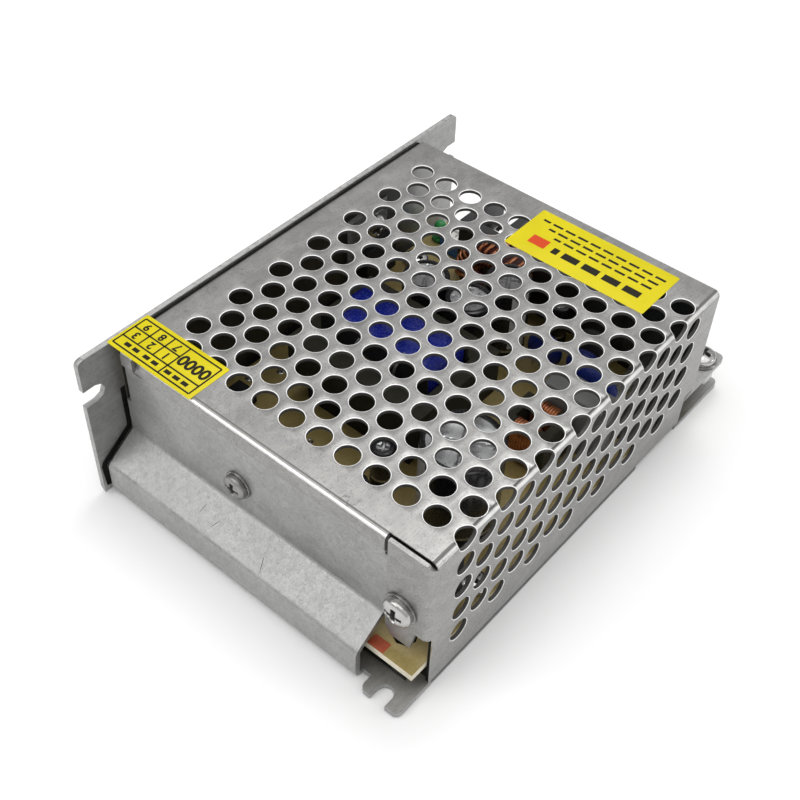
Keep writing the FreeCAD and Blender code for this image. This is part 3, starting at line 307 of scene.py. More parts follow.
class Graph:
    """A node graph that works from one kind of coordinates and feeds one shader.

    The colour mix node keeps its share, its two colours and its result at the numbers given here.
    """

    MIX_INPUTS: ClassVar[tuple[int, int, int]] = (0, 6, 7)
    MIX_RESULT: ClassVar[int] = 2

    def __init__(self, owner: bpy.types.Material | bpy.types.World, shader: str = "Principled BSDF",
                 coordinates: str = "Object") -> None:
        """Take hold of an owner's nodes.

        Args:
            owner: The material or world.
            shader: Name of its shader node.
            coordinates: Which coordinates the graph starts from.
        """
        owner.use_nodes = True
        self.tree = owner.node_tree
        self.shader = self.tree.nodes[shader]
        self.place = self.add("ShaderNodeTexCoord").outputs[coordinates]

    def add(self, kind: str, **values: object) -> bpy.types.Node:
        """Add a node and set its properties."""
        node = self.tree.nodes.new(kind)
        for name, value in values.items():
            setattr(node, name, value)
        return node

    def feed(self, socket: Socket, value: object) -> None:
        """Link a socket to another, or set it to a plain value."""
        if isinstance(value, Socket):
            self.tree.links.new(value, socket)
        else:
            socket.default_value = value

    def fed(self, kind: str, inputs: dict[str | int, object], **values: object) -> bpy.types.Node:
        """Add a node, set its properties and feed its inputs."""
        node = self.add(kind, **values)
        for name, value in inputs.items():
            self.feed(node.inputs[name], value)
        return node

    def stretch(self, x: float, y: float, z: float) -> Socket:
        """The coordinates scaled by a different amount along each axis."""
        return self.fed("ShaderNodeMapping", {"Vector": self.place, "Scale": (x, y, z)}).outputs["Vector"]

    def noise(self, size_mm: float, detail: float = 3.0, rough: float = 0.5,
              vector: Socket | None = None) -> Socket:
        """Cloudy noise whose features are about a size in millimetres."""
        inputs = {"Vector": vector or self.place, "Scale": 1 / (size_mm * MM), "Detail": detail,
                  "Roughness": rough}
        return self.fed("ShaderNodeTexNoise", inputs).outputs["Fac"]

    def crystals(self, size_mm: float) -> Socket:
        """A grey value that is one number over each crystal."""
        cells = self.fed("ShaderNodeTexVoronoi", {"Vector": self.place, "Scale": 1 / (size_mm * MM)})
        return self.fed("ShaderNodeSeparateColor", {"Color": cells.outputs["Color"]}).outputs[0]

    def spread(self, value: Socket, low: float, high: float, to_low: object = 0.0,
               to_high: float = 1.0) -> Socket:
        """Map a range of a value onto another, held at both ends."""
        inputs = {"Value": value, "From Min": low, "From Max": high, "To Min": to_low, "To Max": to_high}
        return self.fed("ShaderNodeMapRange", inputs).outputs["Result"]

    def mix(self, share: object, a: object, b: object, blend: str = "MIX") -> Socket:
        """Mix two colours by a share."""
        inputs = dict(zip(self.MIX_INPUTS, (share, opaque(a), opaque(b))))
        return self.fed("ShaderNodeMix", inputs, data_type="RGBA", blend_type=blend).outputs[self.MIX_RESULT]

    def grey(self, value: Socket) -> Socket:
        """A grey colour from a value."""
        return self.fed("ShaderNodeCombineColor", {0: value, 1: value, 2: value}).outputs["Color"]

    def work(self, operation: str, a: object, b: object = 0.0) -> Socket:
        """One step of arithmetic."""
        return self.fed("ShaderNodeMath", {0: a, 1: b}, operation=operation).outputs[0]

    def product(self, *shares: Socket) -> Socket:
        """Several shares multiplied."""
        whole = shares[0]
        for share in shares[1:]:
            whole = self.work("MULTIPLY", whole, share)
        return whole

    def bump(self, height: Socket, depth_mm: float, strength: float) -> None:
        """Raise and lower the surface by a height that goes from 0 to 1."""
        node = self.fed("ShaderNodeBump", {"Strength": strength, "Distance": depth_mm * MM, "Height": height})
        self.feed(self.shader.inputs["Normal"], node.outputs["Normal"])

    def put(self, **values: object) -> None:
        """Set or link sockets of the shader, their spaces written as underscores."""
        for name, value in values.items():
            self.feed(self.shader.inputs[name.replace("_", " ")], opaque(value))


def opaque(value: object) -> object:
    """A colour of three numbers with its fourth, and any other value as it is."""
    return (*value, 1.0) if isinstance(value, tuple) else value


@dataclass(frozen=True)
class Finish:
    """A material with a name and a main colour."""

    name: str
    tone: Tone

    def make(self) -> bpy.types.Material:
        """Build the material."""
        material = bpy.data.materials.new(self.name)
        self.draw(Graph(material))
        return material

    def draw(self, g: Graph) -> None:
        """Feed the material's shader."""
        g.put(Base_Color=self.tone)


@dataclass(frozen=True)
class SheetMetal(Finish):
    """Rolled or plated sheet: clouds, crystals, dark specks, faint rolling lines and a fine bump.

    stains are smudges of handling: x, y, z, reach, and share of dark. inside is the share of painted shade on
    the metal under the cover. fold is where a painted fold highlight starts along X, and its middle in Y and Z.
    """

    dark: Tone
    speck: float = 0.5
    crystal_mm: float = 1.6
    speck_mm: float = 0.32
    rough: Pair = (0.34, 0.5)
    metal: float = 0.85
    lines: float = 0.3
    stains: tuple[tuple[float, float, float, float, float], ...] = ()
    inside: float = 0.0
    fold: Spot | None = None

    def draw(self, g: Graph) -> None:
        """Feed the material's shader."""
        cloud = g.noise(9.0, 4.0, 0.6)
        body = g.mix(g.spread(cloud, 0.35, 0.65), self.dark, self.tone)
        crystals = g.spread(g.crystals(self.crystal_mm), 0.0, 1.0, 0.9, 1.06)
        body = g.mix(1.0, body, g.grey(crystals), "MULTIPLY")
        fine = g.noise(self.speck_mm, 2.0, 0.7)
        body = g.mix(g.spread(fine, 0.56, 0.68, 0.0, self.speck), body, scaled(self.dark, 0.35))
        drawn = g.noise(1.0, 3.0, 0.6, g.stretch(0.05, 3.2, 3.2))
        body = g.mix(g.spread(drawn, 0.5, 0.75, 0.0, self.lines), body, scaled(self.tone, 1.35))
        body = self.stained(g, body)
        if self.inside:
            body = self.painted_inside_shade(g, body)
        if self.fold:
            body = self.painted_fold_light(g, body, *self.fold)
        rough = g.work("ADD", g.spread(cloud, 0.3, 0.7, *self.rough), g.spread(fine, 0.4, 0.7, 0.0, 0.14))
        g.put(Base_Color=body, Metallic=self.metal, Roughness=rough)
        g.bump(fine, 0.03, 0.35)

    def painted_fold_light(self, g: Graph, body: Socket, x: float, y: float, z: float) -> Socket:
        """Painted highlight along a fold about (y, z) from x on, and painted shade where the fold meets the top.
        """
        place = g.fed("ShaderNodeSeparateXYZ", {0: g.place}).outputs
        across = g.work("SUBTRACT", y * MM, place["Y"])
        above = g.work("SUBTRACT", place["Z"], z * MM)
        turn = g.work("ARCTAN2", above, across)
        outside = g.product(g.work("GREATER_THAN", across, 0.0), g.work("GREATER_THAN", above, 0.0),
                            g.work("GREATER_THAN", place["X"], x * MM))
        # A painted highlight down the fold and a painted dark line of shade beside it: angle, reaches, share,
        # colour
        bright, painted_crease_shade = (0.72, 0.2, 0.34, 0.9, (0.8, 0.795, 0.78)), (1.3, 0.1, 0.2, 0.8, (0.06, 0.06, 0.056))
        for middle, inner, outer, share, tone in (bright, painted_crease_shade):
            off = g.work("ABSOLUTE", g.work("SUBTRACT", turn, middle))
            body = g.mix(g.work("MULTIPLY", outside, g.spread(off, inner, outer, share, 0.0)), body, tone)
        return body

    def painted_inside_shade(self, g: Graph, body: Socket) -> Socket:
        """Painted shade on the metal under the cover: above the base, short of the side wall's outside."""
        place = g.fed("ShaderNodeSeparateXYZ", {0: g.place}).outputs
        share = g.product(
            g.work("GREATER_THAN", place["X"], -45.7 * MM), g.spread(place["X"], 35.0 * MM, 42.0 * MM, 1.0, 0.0),
            g.work("GREATER_THAN", place["Z"], 0.5 * MM), g.work("LESS_THAN", place["Z"], 35.4 * MM),
            g.work("LESS_THAN", place["Y"], 38.2 * MM))
        return g.mix(g.work("MULTIPLY", share, self.inside), body, (0.03, 0.029, 0.025))

    def stained(self, g: Graph, body: Socket) -> Socket:
        """Smudges and specks of handling about each stain's middle."""
        grime = g.spread(g.noise(0.9, 5.0, 0.75), 0.52, 0.62)
        for x, y, z, reach, share in self.stains:
            inputs = {0: g.place, 1: (x * MM, y * MM, z * MM)}
            away = g.fed("ShaderNodeVectorMath", inputs, operation="DISTANCE").outputs["Value"]
            near = g.spread(away, reach * MM, 0.3 * reach * MM, 0.0, share)
            body = g.mix(g.work("MULTIPLY", near, grime), body, (0.05, 0.047, 0.043))
        return body


@dataclass(frozen=True)
class Moulded(Finish):
    """Moulded or dipped plastic: a fine grain, slight unevenness of tone, and dust in the grain."""

    rough: float = 0.45
    grain_mm: float = 0.25
    grain: float = 0.3
    vary: float = 0.2
    coat: float = 0.0
    gloss: float = 0.5
    dust: float = 0.02

    def draw(self, g: Graph) -> None:
        """Feed the material's shader."""
        cloud = g.noise(4.0, 4.0, 0.55)
        fine = g.noise(self.grain_mm, 2.0, 0.6)
        lifted = tuple(min(1.0, c * (1 + self.vary) + 0.03 * self.vary) for c in self.tone)
        body = g.mix(g.spread(cloud, 0.35, 0.68), self.tone, lifted)
        dust = g.spread(g.noise(0.9, 5.0, 0.7), 0.62, 0.75, 0.0, self.dust)
        body = g.mix(dust, body, (0.42, 0.41, 0.39))
        rough = g.spread(fine, 0.3, 0.7, max(0.05, self.rough - 0.08), min(1.0, self.rough + 0.1))
        g.put(Base_Color=body, Roughness=rough, Coat_Weight=self.coat, Specular_IOR_Level=self.gloss)
        g.bump(fine, 0.03, self.grain)


@dataclass(frozen=True)
class Laminate(Finish):
    """Paper laminate of the board: tan, with short fibres, burn-toned blotches and a lacquered face."""

    deep: Tone

    def draw(self, g: Graph) -> None:
        """Feed the material's shader."""
        fibres = g.noise(0.7, 4.0, 0.6, g.stretch(0.8, 1.8, 1.0))
        body = g.mix(g.spread(fibres, 0.2, 0.8), self.deep, self.tone)
        blots = g.spread(g.noise(5.0, 3.0, 0.5), 0.45, 0.8, 0.0, 0.5)
        body = g.mix(blots, body, scaled(self.deep, 0.55))
        g.put(Base_Color=body, Roughness=g.spread(fibres, 0.3, 0.7, 0.36, 0.5), Coat_Weight=0.06)
        g.bump(fibres, 0.02, 0.3)


@dataclass(frozen=True)
class Enamel(Finish):
    """Enamelled copper wire: metal under a clear tinted coat, darker in places."""

    deep: Tone

    def draw(self, g: Graph) -> None:
        """Feed the material's shader."""
        cloud = g.noise(2.0, 3.0, 0.6)
        g.put(Base_Color=g.mix(g.spread(cloud, 0.35, 0.65), self.deep, self.tone), Metallic=0.8,
              Roughness=g.spread(cloud, 0.3, 0.7, 0.22, 0.36), Coat_Weight=0.6)
        g.bump(g.noise(0.4), 0.01, 0.2)


@dataclass(frozen=True)
class Bright(Finish):
    """Plated or tinned small metal: bright, with a soft mottle and hairline marks."""

    rough: float = 0.22
    marks: float = 0.3

    def draw(self, g: Graph) -> None:
        """Feed the material's shader."""
        cloud = g.noise(1.2, 4.0, 0.6)
        hair = g.noise(0.9, 2.0, 0.5, g.stretch(3.0, 0.3, 0.6))
        body = g.mix(g.spread(cloud, 0.35, 0.7), scaled(self.tone, 0.78), self.tone)
        body = g.mix(g.spread(hair, 0.6, 0.72, 0.0, self.marks), body, scaled(self.tone, 0.5))
        g.put(Base_Color=body, Metallic=0.95, Roughness=g.spread(cloud, 0.3, 0.7, self.rough, self.rough + 0.14))
        g.bump(hair, 0.01, 0.25)


@dataclass(frozen=True)
class Printed(Finish):
    """Printed film: even ink or film colour under a satin face, with the faint waves of a stuck label."""

    rough: float = 0.38

    def draw(self, g: Graph) -> None:
        """Feed the material's shader."""
        waves = g.noise(7.0, 2.0, 0.4)
        fine = g.noise(0.15, 1.0, 0.5)
        body = g.mix(g.spread(waves, 0.3, 0.7), scaled(self.tone, 0.92), self.tone)
        body = g.mix(g.spread(fine, 0.55, 0.75, 0.0, 0.12), body, scaled(self.tone, 0.7))
        g.put(Base_Color=body, Roughness=g.spread(waves, 0.3, 0.7, self.rough, self.rough + 0.1),
              Specular_IOR_Level=0.25)
        g.bump(waves, 0.08, 0.3)


@dataclass(frozen=True)
class Clear(Finish):
    """Glass or clear resin with a slight unevenness of its face."""

    see_through: float = 0.85
    rough: float = 0.08

    def draw(self, g: Graph) -> None:
        """Feed the material's shader."""
        cloud = g.noise(1.5, 2.0, 0.5)
        body = g.mix(g.spread(cloud, 0.3, 0.7), scaled(self.tone, 0.85), self.tone)
        g.put(Base_Color=body, Roughness=g.spread(cloud, 0.3, 0.7, self.rough, self.rough + 0.06),
              Transmission_Weight=self.see_through, IOR=1.5)
        g.bump(cloud, 0.02, 0.2)


COVER_STAINS = (
    (-45.8, -18.7, 36.0, 2.2, 0.6), (-45.6, -20.6, 36.0, 1.8, 0.6), (-17.4, 34.5, 36.0, 2.8, 0.4),
    (-24.4, 35.5, 36.0, 2.6, 0.4), (-31.9, 35.0, 36.0, 2.4, 0.35), (-30.0, -36.0, 36.0, 4.0, 0.3),
    (-46.5, -35.0, 26.0, 5.0, 0.35), (12.0, 34.0, 36.0, 4.0, 0.25),
)
FINISHES = (
    # The cover's near fold gets a painted highlight and painted shade beside it.
    SheetMetal("galvanised_cover", (0.37, 0.365, 0.355), (0.31, 0.307, 0.298), speck=0.45, rough=(0.31, 0.43),
               fold=(-46.3, -37.7, 34.7), stains=COVER_STAINS),
    # inside paints shade on the tray's metal under the cover.
    SheetMetal("mill_tray", (0.42, 0.42, 0.415), (0.35, 0.35, 0.345), speck=0.22, crystal_mm=0.9, lines=0.4,
               inside=0.8),
    # Painted highlight on the hole rims, and painted shade on the holes' punched walls.
    Moulded("painted_rim_highlight", (0.86, 0.86, 0.85), 0.3),
    Moulded("painted_hole_wall_shade", (0.06, 0.058, 0.054), 0.5, gloss=0.3),
    # Painted highlight down the cover's folds, on its near edge's burr and along the tray's top edge.
    Bright("painted_edge_highlight", (0.80, 0.795, 0.78), 0.25),
    # Dark: painted shade on the inner side of the cover's folds, and the cover's cut walls.
    Moulded("cut_edge", (0.13, 0.128, 0.122), 0.5),
    Moulded("seam_shade", (0.009, 0.009, 0.0085), 0.8, gloss=0.05, dust=0.0),
    # Dark grey for the scratches on the tray's slope and for a painted shadow line under the cover's lip.
    Moulded("scratch_and_shadow_dark", (0.07, 0.07, 0.066), 0.5),
    Bright("plated_screw", (0.58, 0.575, 0.56), 0.14, 0.15),
    # Plated washers, toned darker than the screws as painted shade round the screw heads.
    Bright("plated_washer_painted_shade", (0.34, 0.335, 0.325), 0.2),
    Moulded("recess_shade", (0.05, 0.05, 0.048), 0.4, gloss=0.3),
    Bright("dull_screw", (0.36, 0.355, 0.35), 0.34),
    Bright("tinned_metal", (0.66, 0.66, 0.65), 0.26),
    Bright("drawn_can", (0.54, 0.545, 0.55), 0.24, 0.0),
    Bright("solder", (0.60, 0.60, 0.61), 0.2, 0.1),
    Laminate("tan_laminate", (0.43, 0.33, 0.12), (0.30, 0.225, 0.075)),
    Laminate("pale_laminate_edge", (0.85, 0.80, 0.66), (0.70, 0.63, 0.48)),
    Moulded("red_mask", (0.40, 0.075, 0.03), 0.4),
    Moulded("terminal_black", (0.018, 0.018, 0.019), 0.42),
    Moulded("chip_black", (0.012, 0.012, 0.013), 0.55, 0.15, gloss=0.2),
    Moulded("dark_film", (0.02, 0.022, 0.02), 0.3, gloss=0.3),
    Moulded("grey_pad", (0.33, 0.34, 0.34), 0.75),
    Moulded("case_grey", (0.13, 0.13, 0.127), 0.5, dust=0.1),
    Moulded("white_nylon", (0.78, 0.77, 0.73), 0.5),
    Moulded("trimmer_blue", (0.04, 0.16, 0.48), 0.4),
    Moulded("sleeve_black", (0.008, 0.008, 0.009), 0.25, coat=0.1, gloss=0.3),
    Moulded("sleeve_stripe", (0.55, 0.55, 0.53), 0.3, coat=0.1),
    Moulded("disc_blue", (0.008, 0.02, 0.16), 0.3, coat=0.1, gloss=0.3),
    Moulded("disc_black", (0.015, 0.015, 0.016), 0.5, 0.4, 0.6),
    Moulded("ferrite", (0.024, 0.023, 0.014), 0.6, 0.3, 0.5, gloss=0.2),
    Moulded("core_red_brown", (0.07, 0.012, 0.008), 0.4, gloss=0.3),
    Moulded("tape_blue", (0.004, 0.012, 0.20), 0.25, 0.6, 0.2, 0.35, 0.05, 0.3),
    Moulded("resistor_lacquer", (0.42, 0.30, 0.17), 0.35),
    Moulded("band_brown", (0.16, 0.05, 0.02), 0.35),
    Moulded("band_gold", (0.45, 0.30, 0.06), 0.3),
    Enamel("copper_turns", (0.62, 0.24, 0.09), (0.38, 0.12, 0.05)),
    Printed("label_yellow", (0.66, 0.56, 0.004)),
    Printed("ink_black", (0.012, 0.010, 0.004), 0.6),
    Printed("ink_red", (0.62, 0.06, 0.01)),
    Clear("fuse_glass", (0.93, 0.96, 0.95)),
    Clear("lamp_green", (0.10, 0.75, 0.22), 0.6, 0.16),
)


# The workshop puts surfaces into the scene


def put_in_scene(name: str, data: bpy.types.ID) -> bpy.types.Object:
    """A new object at the origin, linked to the scene."""
    thing = bpy.data.objects.new(name, data)
    bpy.context.scene.collection.objects.link(thing)
    return thing


def tidy_mesh(mesh: bpy.types.Mesh, reach: float, flat: float | None = None) -> None:
    """Merge doubled vertices, close poles, join flat faces where asked, and point all faces outwards."""
    work = bmesh.new()
    work.from_mesh(mesh)
    bmesh.ops.remove_doubles(work, verts=work.verts, dist=reach)
    bmesh.ops.delete(work, geom=[v for v in work.verts if not v.link_faces], context="VERTS")
    if flat is not None:
        bmesh.ops.dissolve_limit(work, angle_limit=flat, verts=work.verts, edges=work.edges)
    bmesh.ops.recalc_face_normals(work, faces=work.faces)
    work.to_mesh(mesh)
    work.free()


class Workshop:
    """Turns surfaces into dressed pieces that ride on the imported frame."""

    def __init__(self, frame: dict) -> None:
        """Make the finishes once.
        """
        self.frame = frame
        self.materials = {finish.name: finish.make() for finish in FINISHES}
        self.body_of = {n: b for b, ns in frame["record"]["behaviour"]["bodies"].items() for n in ns}
        self.slot_of = {s["node"]: s["material_slot"] for s in frame["record"]["subparts"]}
        self.made = 0

    def low_high(self, node: str) -> tuple[Array, Array]:
        """The lowest and highest corner of a node, in millimetres."""
        low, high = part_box(node)
        return np.array(low) / MM, np.array(high) / MM

    def piece(self, name: str, surface: Surface | Iterable[Surface], finish: str, node: str,
              replaces: bool = False, smooth: float = 35.0, also: Sequence[str] = ()) -> None:
        """Make one piece from a surface, at the origin.

        Args:
            name: Name of the piece.
            surface: Its surface in millimetres, or several to be joined.
            finish: Name of its finish.
            node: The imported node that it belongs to.
            replaces: Whether it stands for that node.
            smooth: Edges sharper than this, in degrees, stay crisp.
            also: Further finishes, for the faces that the surface marks 1, 2 and so on.
        """
        if not isinstance(surface, Surface):
            surface = Surface.joined(surface)
        mesh = bpy.data.meshes.new(name)
        mesh.from_pydata(surface.points * MM, [], surface.quads.tolist())
        if surface.marks is not None:
            mesh.polygons.foreach_set("material_index", surface.marks.astype(np.int32))
        thing = put_in_scene(name, mesh)
        tidy_mesh(mesh, 1e-7)
        for found in (finish, *also):
            mesh.materials.append(self.materials[found])
        mesh.shade_smooth()
        mesh.set_sharp_from_angle(angle=math.radians(smooth))
        self.attach(thing, node, replaces)

    def stand_in(self, name: str, surface: Surface | Iterable[Surface], finish: str, node: str,
                 smooth: float = 35.0, also: Sequence[str] = ()) -> None:
        """Make one piece that stands for its node, as piece() does."""
        self.piece(name, surface, finish, node, True, smooth, also)

    def screw(self, name: str, surface: Surface | Iterable[Surface], node: str,
              finish: str = "plated_screw") -> None:
        """Make a screw, or several, that stand for their node, with shade in the cross recess."""
        self.stand_in(name, surface, finish, node, also=("recess_shade",))

    def attach(self, thing: bpy.types.Object, node: str, replaces: bool) -> None:
        """Let a piece ride with a node's body, and stand for it where it should."""
        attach(thing, self.body_of[node])
        if replaces:
            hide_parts(node)
        self.made += 1
        LOG.info("piece %s on %s", thing.name, self.body_of[node])

    def softened(self, node: str, finish: str, width_mm: float, also: Sequence[str] = ()) -> bpy.types.Mesh:
        """A copy of a node's mesh with its edges eased, which stands for the node.

        Args:
            node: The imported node.
            finish: Name of the finish.
            width_mm: Width of the eased edges.
            also: Further finishes that the mesh keeps ready for chosen faces.

        Returns:
            The new mesh.
        """
        mesh = self.frame["nodes"][node].data.copy()
        mesh.name = f"{node}_eased"
        thing = put_in_scene(f"{node}_eased", mesh)
        tidy_mesh(mesh, 2e-6, flat=math.radians(1.5))
        mesh.materials.clear()
        for name in (finish, *also):
            mesh.materials.append(self.materials[name])
        mesh.shade_smooth()
        bevel = thing.modifiers.new("eased_edges", "BEVEL")
        bevel.width = width_mm * MM
        bevel.segments = 2
        bevel.limit_method = "ANGLE"
        bevel.angle_limit = math.radians(32)
        bevel.harden_normals = True
        weight = thing.modifiers.new("even_shading", "WEIGHTED_NORMAL")
        weight.keep_sharp = True
        self.attach(thing, node, True)
        return mesh


# Sub-assemblies


@dataclass
class PerforatedCover:
    """The folded cover, punched flat in staggered rows and then folded.

    A place on the flat sheet is (u, v): u runs along X, and v runs up the side, round the fold and over
    the top, with 0 at the middle of the fold. The depth w goes into the sheet from its outer face.
    The flange hangs at the near end beside the screw, and the lip along the rest of that end, with a slit
    between them and a notch under the corner sticker.
    """

    near: float = -47.6
    far: float = 41.3
    side: float = -39.0
    left: float = 37.1
    top: float = 36.0
    low: float = 1.3
    sheet: float = 0.8
    bend: float = 1.3
    left_bend: float = 0.9
    burr: float = 0.22
    hole: float = 2.35
    pitch: float = 6.5
    rows: float = 5.47
    first_row: float = -38.67
    row_count: int = 14
    lattice: float = -0.245
    flange_edge: float = -29.6
    flange_relief: float = 15.16
    flange_low: float = 10.0
    flange_rise: float = 1.02
    flange_steps: tuple[float, ...] = (8.1, 7.4, 6.7, 5.6, 4.5, 3.6, 2.6, 2.3, 1.5)
    relief_gap: float = 1.5
    slant_foot: Pair = (2.6, 6.7)
    slant_rise: float = 2.0
    slit: float = 0.7
    lip_tall: float = 2.31
    lip_left: float = 35.5
    notch_from: float = 3.6
    notch_wide: float = 2.4
    far_cut: float = 3.4
    far_cut_top: float = 9.0
    near_cut: float = 4.2

    # Half a hole's square in lines, and the range of half pitches that have lines of their own
    half_u: ClassVar[int] = 3
    half_v: ClassVar[int] = 4
    first_knot: ClassVar[int] = -9
    last_knot: ClassVar[int] = 22
    finishes: ClassVar[tuple[str, ...]] = (
        "painted_rim_highlight", "painted_hole_wall_shade", "painted_edge_highlight", "cut_edge", "seam_shade")
    # Numbers of these finishes: rings of a hole from outside in, then burr and wall of each edge
    # A hole's rim takes the painted rim highlight and its punched wall the painted wall shade.
    ring_marks: ClassVar[tuple[int, ...]] = (0, 1, 1, 2, 0)
    # Near-end edges: painted highlight on the burr, black painted shade on the wall; far and low edges dark
    wall_marks: ClassVar[tuple[int, ...]] = (3, 5, 4, 4, 4, 4, 0, 0)
    # Squares of the folds with a painted highlight, and squares beside it with painted shade
    fold_highlight_mark: ClassVar[int] = 3
    crease_shade_mark: ClassVar[int] = 4

    @property
    def arc(self) -> float:
        """Length of a fold round its outer face."""
        return self.bend * math.pi / 2

    @property
    def left_arc(self) -> float:
        """Length of the tighter fold at the left edge."""
        return self.left_bend * math.pi / 2

    @property
    def line(self) -> float:
        """Where the near fold starts, along u."""
        return self.near + self.bend

    @property
    def edge(self) -> float:
        """Where the near fold ends, along u."""
        return self.line - self.arc

    @property
    def left_line(self) -> float:
        """Where the left fold starts, along v."""
        return self.v_of_top(self.left - self.left_bend)

    @property
    def lip_right(self) -> float:
        """Where the lip starts beside the slit, along v."""
        return self.v_of_top(self.flange_edge + self.slit)

    @property
    def notch(self) -> float:
        """Where the notch of the lip ends, along v."""
        return self.v_of_top(self.lip_left) - self.notch_from

    def v_of_top(self, y: float) -> float:
        """Flat-sheet place of a point of the top."""
        return y - (self.side + self.bend) + self.arc / 2

    def v_of_side(self, z: float) -> float:
        """Flat-sheet place of a point of the side."""
        return z - (self.top - self.bend) - self.arc / 2

    def fold(self, u: Array, v: Array, w: Array) -> Array:
        """Carry flat-sheet places into space.

        Past the near edge's fold line the sheet turns down: x = line - (R - w) sin a and the depth is
        R - (R - w) cos a, with a the arc gone round over R. The depth is then laid off square to the
        section that v runs along, which is made of straight runs and quarter circles in the same way.
        """
        r = self.bend
        past = np.maximum(0.0, self.line - u)
        a = np.minimum(past / r, math.pi / 2)
        x = np.where(past > 0, self.line - (r - w) * np.sin(a), u)
        depth = r - (r - w) * np.cos(a) + np.maximum(0.0, past - self.arc)
        half, tight = self.arc / 2, self.left_bend
        y0, z0, y1 = self.side + r, self.top - r, self.left - tight
        v1 = self.left_line
        t = np.clip((v + half) / r, 0, math.pi / 2)
        s = np.clip((v - v1) / tight, 0, math.pi / 2)
        y = y0 - (r - depth) * np.cos(t)
        z = z0 + (r - depth) * np.sin(t) + np.minimum(0.0, v + half)
        on_top = v > half
        y = np.where(on_top, np.minimum(y0 + v - half, y1) + (tight - depth) * np.sin(s), y)
        down = np.maximum(0.0, v - v1 - self.left_arc)
        z = np.where(on_top, self.top - tight + (tight - depth) * np.cos(s) - down, z)
        return np.stack([x, y, z], axis=-1)

    def lines_along(self) -> tuple[Array, int]:
        """The u lines: flange, near fold, margin, three to each half row, and margin.

        Returns:
            The lines, and the number of the first line of the punched field.
        """
        per_row = 2 * self.half_u
        flange = self.edge - np.array(self.flange_steps)
        fold = np.linspace(self.edge, self.line, 7)[:-1]
        start = self.first_row - self.rows / 2
        margin = np.linspace(self.line, start, 6)[:-1]
        punched = start + np.arange(self.row_count * per_row + 1) * self.rows / per_row
        step = self.far - self.far_cut
        tail = [0.5 * (punched[-1] + step), step, step + 1.1, step + 2.2, self.far]
        return np.concatenate([flange, fold, margin, punched, tail]), len(flange) + len(fold) + len(margin)

    def lines_across(self) -> tuple[Array, int]:
        """The v lines: margin, four to each half pitch, refined where the sheet folds, and margin.

        Returns:
            The lines, and the number of the first line of the punched field.
        """
        count = (self.last_knot - self.first_knot) * self.half_v + 1
        step = self.pitch / (2 * self.half_v)
        knots = self.lattice + self.pitch / 2 * self.first_knot + np.arange(count) * step
        bend, notch_low = self.arc / 2, self.notch - self.notch_wide
        refined = {
            -9: (-28.6, -27.6, self.v_of_side(self.far_cut_top)),
            -1: (-bend, -0.78, -0.52),
            0: (0.16, 0.6, bend),
            3: (self.lip_right, 10.8, 11.8),
            21: (notch_low, 0.5 * (notch_low + self.notch), self.notch),
        }
        for interval, inner in refined.items():
            start = (interval - self.first_knot) * self.half_v
            knots[start + 1 : start + self.half_v] = inner
        foot = np.linspace(self.v_of_side(self.low), knots[0], 5)[:-1]
        end = self.left_line + self.left_arc
        shoulder = np.linspace(knots[-1], self.left_line, 4)[1:]
        fold = np.linspace(self.left_line, end, 7)[1:]
        return np.concatenate([foot, knots, shoulder, fold, [end + 0.85, end + 1.7]]), len(foot)

    def slanted(self, uu: Array, vv: Array) -> Array:
        """The v of each line crossing, drawn up to the slanted lower edge of the flange where it is near."""
        out = self.edge - uu
        low, relief = self.flange_low, self.v_of_side(self.flange_relief)
        corners = (self.relief_gap, *self.slant_foot, self.flange_steps[0])
        foot = np.interp(out, corners, (self.flange_relief, low, low, low + self.slant_rise))
        band_low = self.v_of_side(low + 0.3)
        share = np.clip((relief - vv) / (relief - band_low), 0, 1)
        in_flange = (out > self.relief_gap - 0.1) & (vv < relief) & (vv > band_low - 0.2)
        return np.where(in_flange, relief + share * (self.v_of_side(foot) - relief), vv)

    def build(self) -> Surface:
        """Build the whole sheet: two faces, hole rims and the wall along every edge."""
        u, u0 = self.lines_along()
        v, v0 = self.lines_across()
        uu, vv = np.meshgrid(u, v, indexing="ij")
        vv = self.slanted(uu, vv)
        mu, mv = 0.5 * (u[:-1] + u[1:])[:, None], 0.5 * (v[:-1] + v[1:])[None, :]
        solid = self.kept(mu, mv)
        filled = solid.copy()
        cells = self.hole_cells(u0, v0)
        for i, j in cells:
            cell = np.s_[i - self.half_u : i + self.half_u, j - self.half_v : j + self.half_v]
            solid[cell] = True
            filled[cell] = False
        number = np.arange(uu.size).reshape(uu.shape)
        layers = [self.fold(uu, vv, np.full_like(uu, w)).reshape(-1, 3) for w in (0.0, self.sheet, self.burr)]
        at_bend = np.abs(vv + self.arc / 2) < 1e-6
        raised = np.where(at_bend, np.clip((self.line - uu) / self.arc, 0, 1), 0).reshape(-1)
        for layer in layers:
            layer[:, 2] += self.flange_rise * raised
        a, b = number[:-1, :-1][filled], number[1:, :-1][filled]
        c, d = number[1:, 1:][filled], number[:-1, 1:][filled]
        faces = [np.stack([a, b, c, d], -1), np.stack([a, d, c, b], -1) + number.size]
        points, rings = self.rims(cells, uu, vv, number)
        groups = faces + rings + self.edge_walls(solid, number)
        marks = [self.fold_light_marks(mu, mv)[filled]]
        marks += [np.full(len(g), m) for g, m in zip(groups[1:], (0, *self.ring_marks, *self.wall_marks))]
        return Surface(np.concatenate([*layers, points]), np.concatenate(groups), np.concatenate(marks))

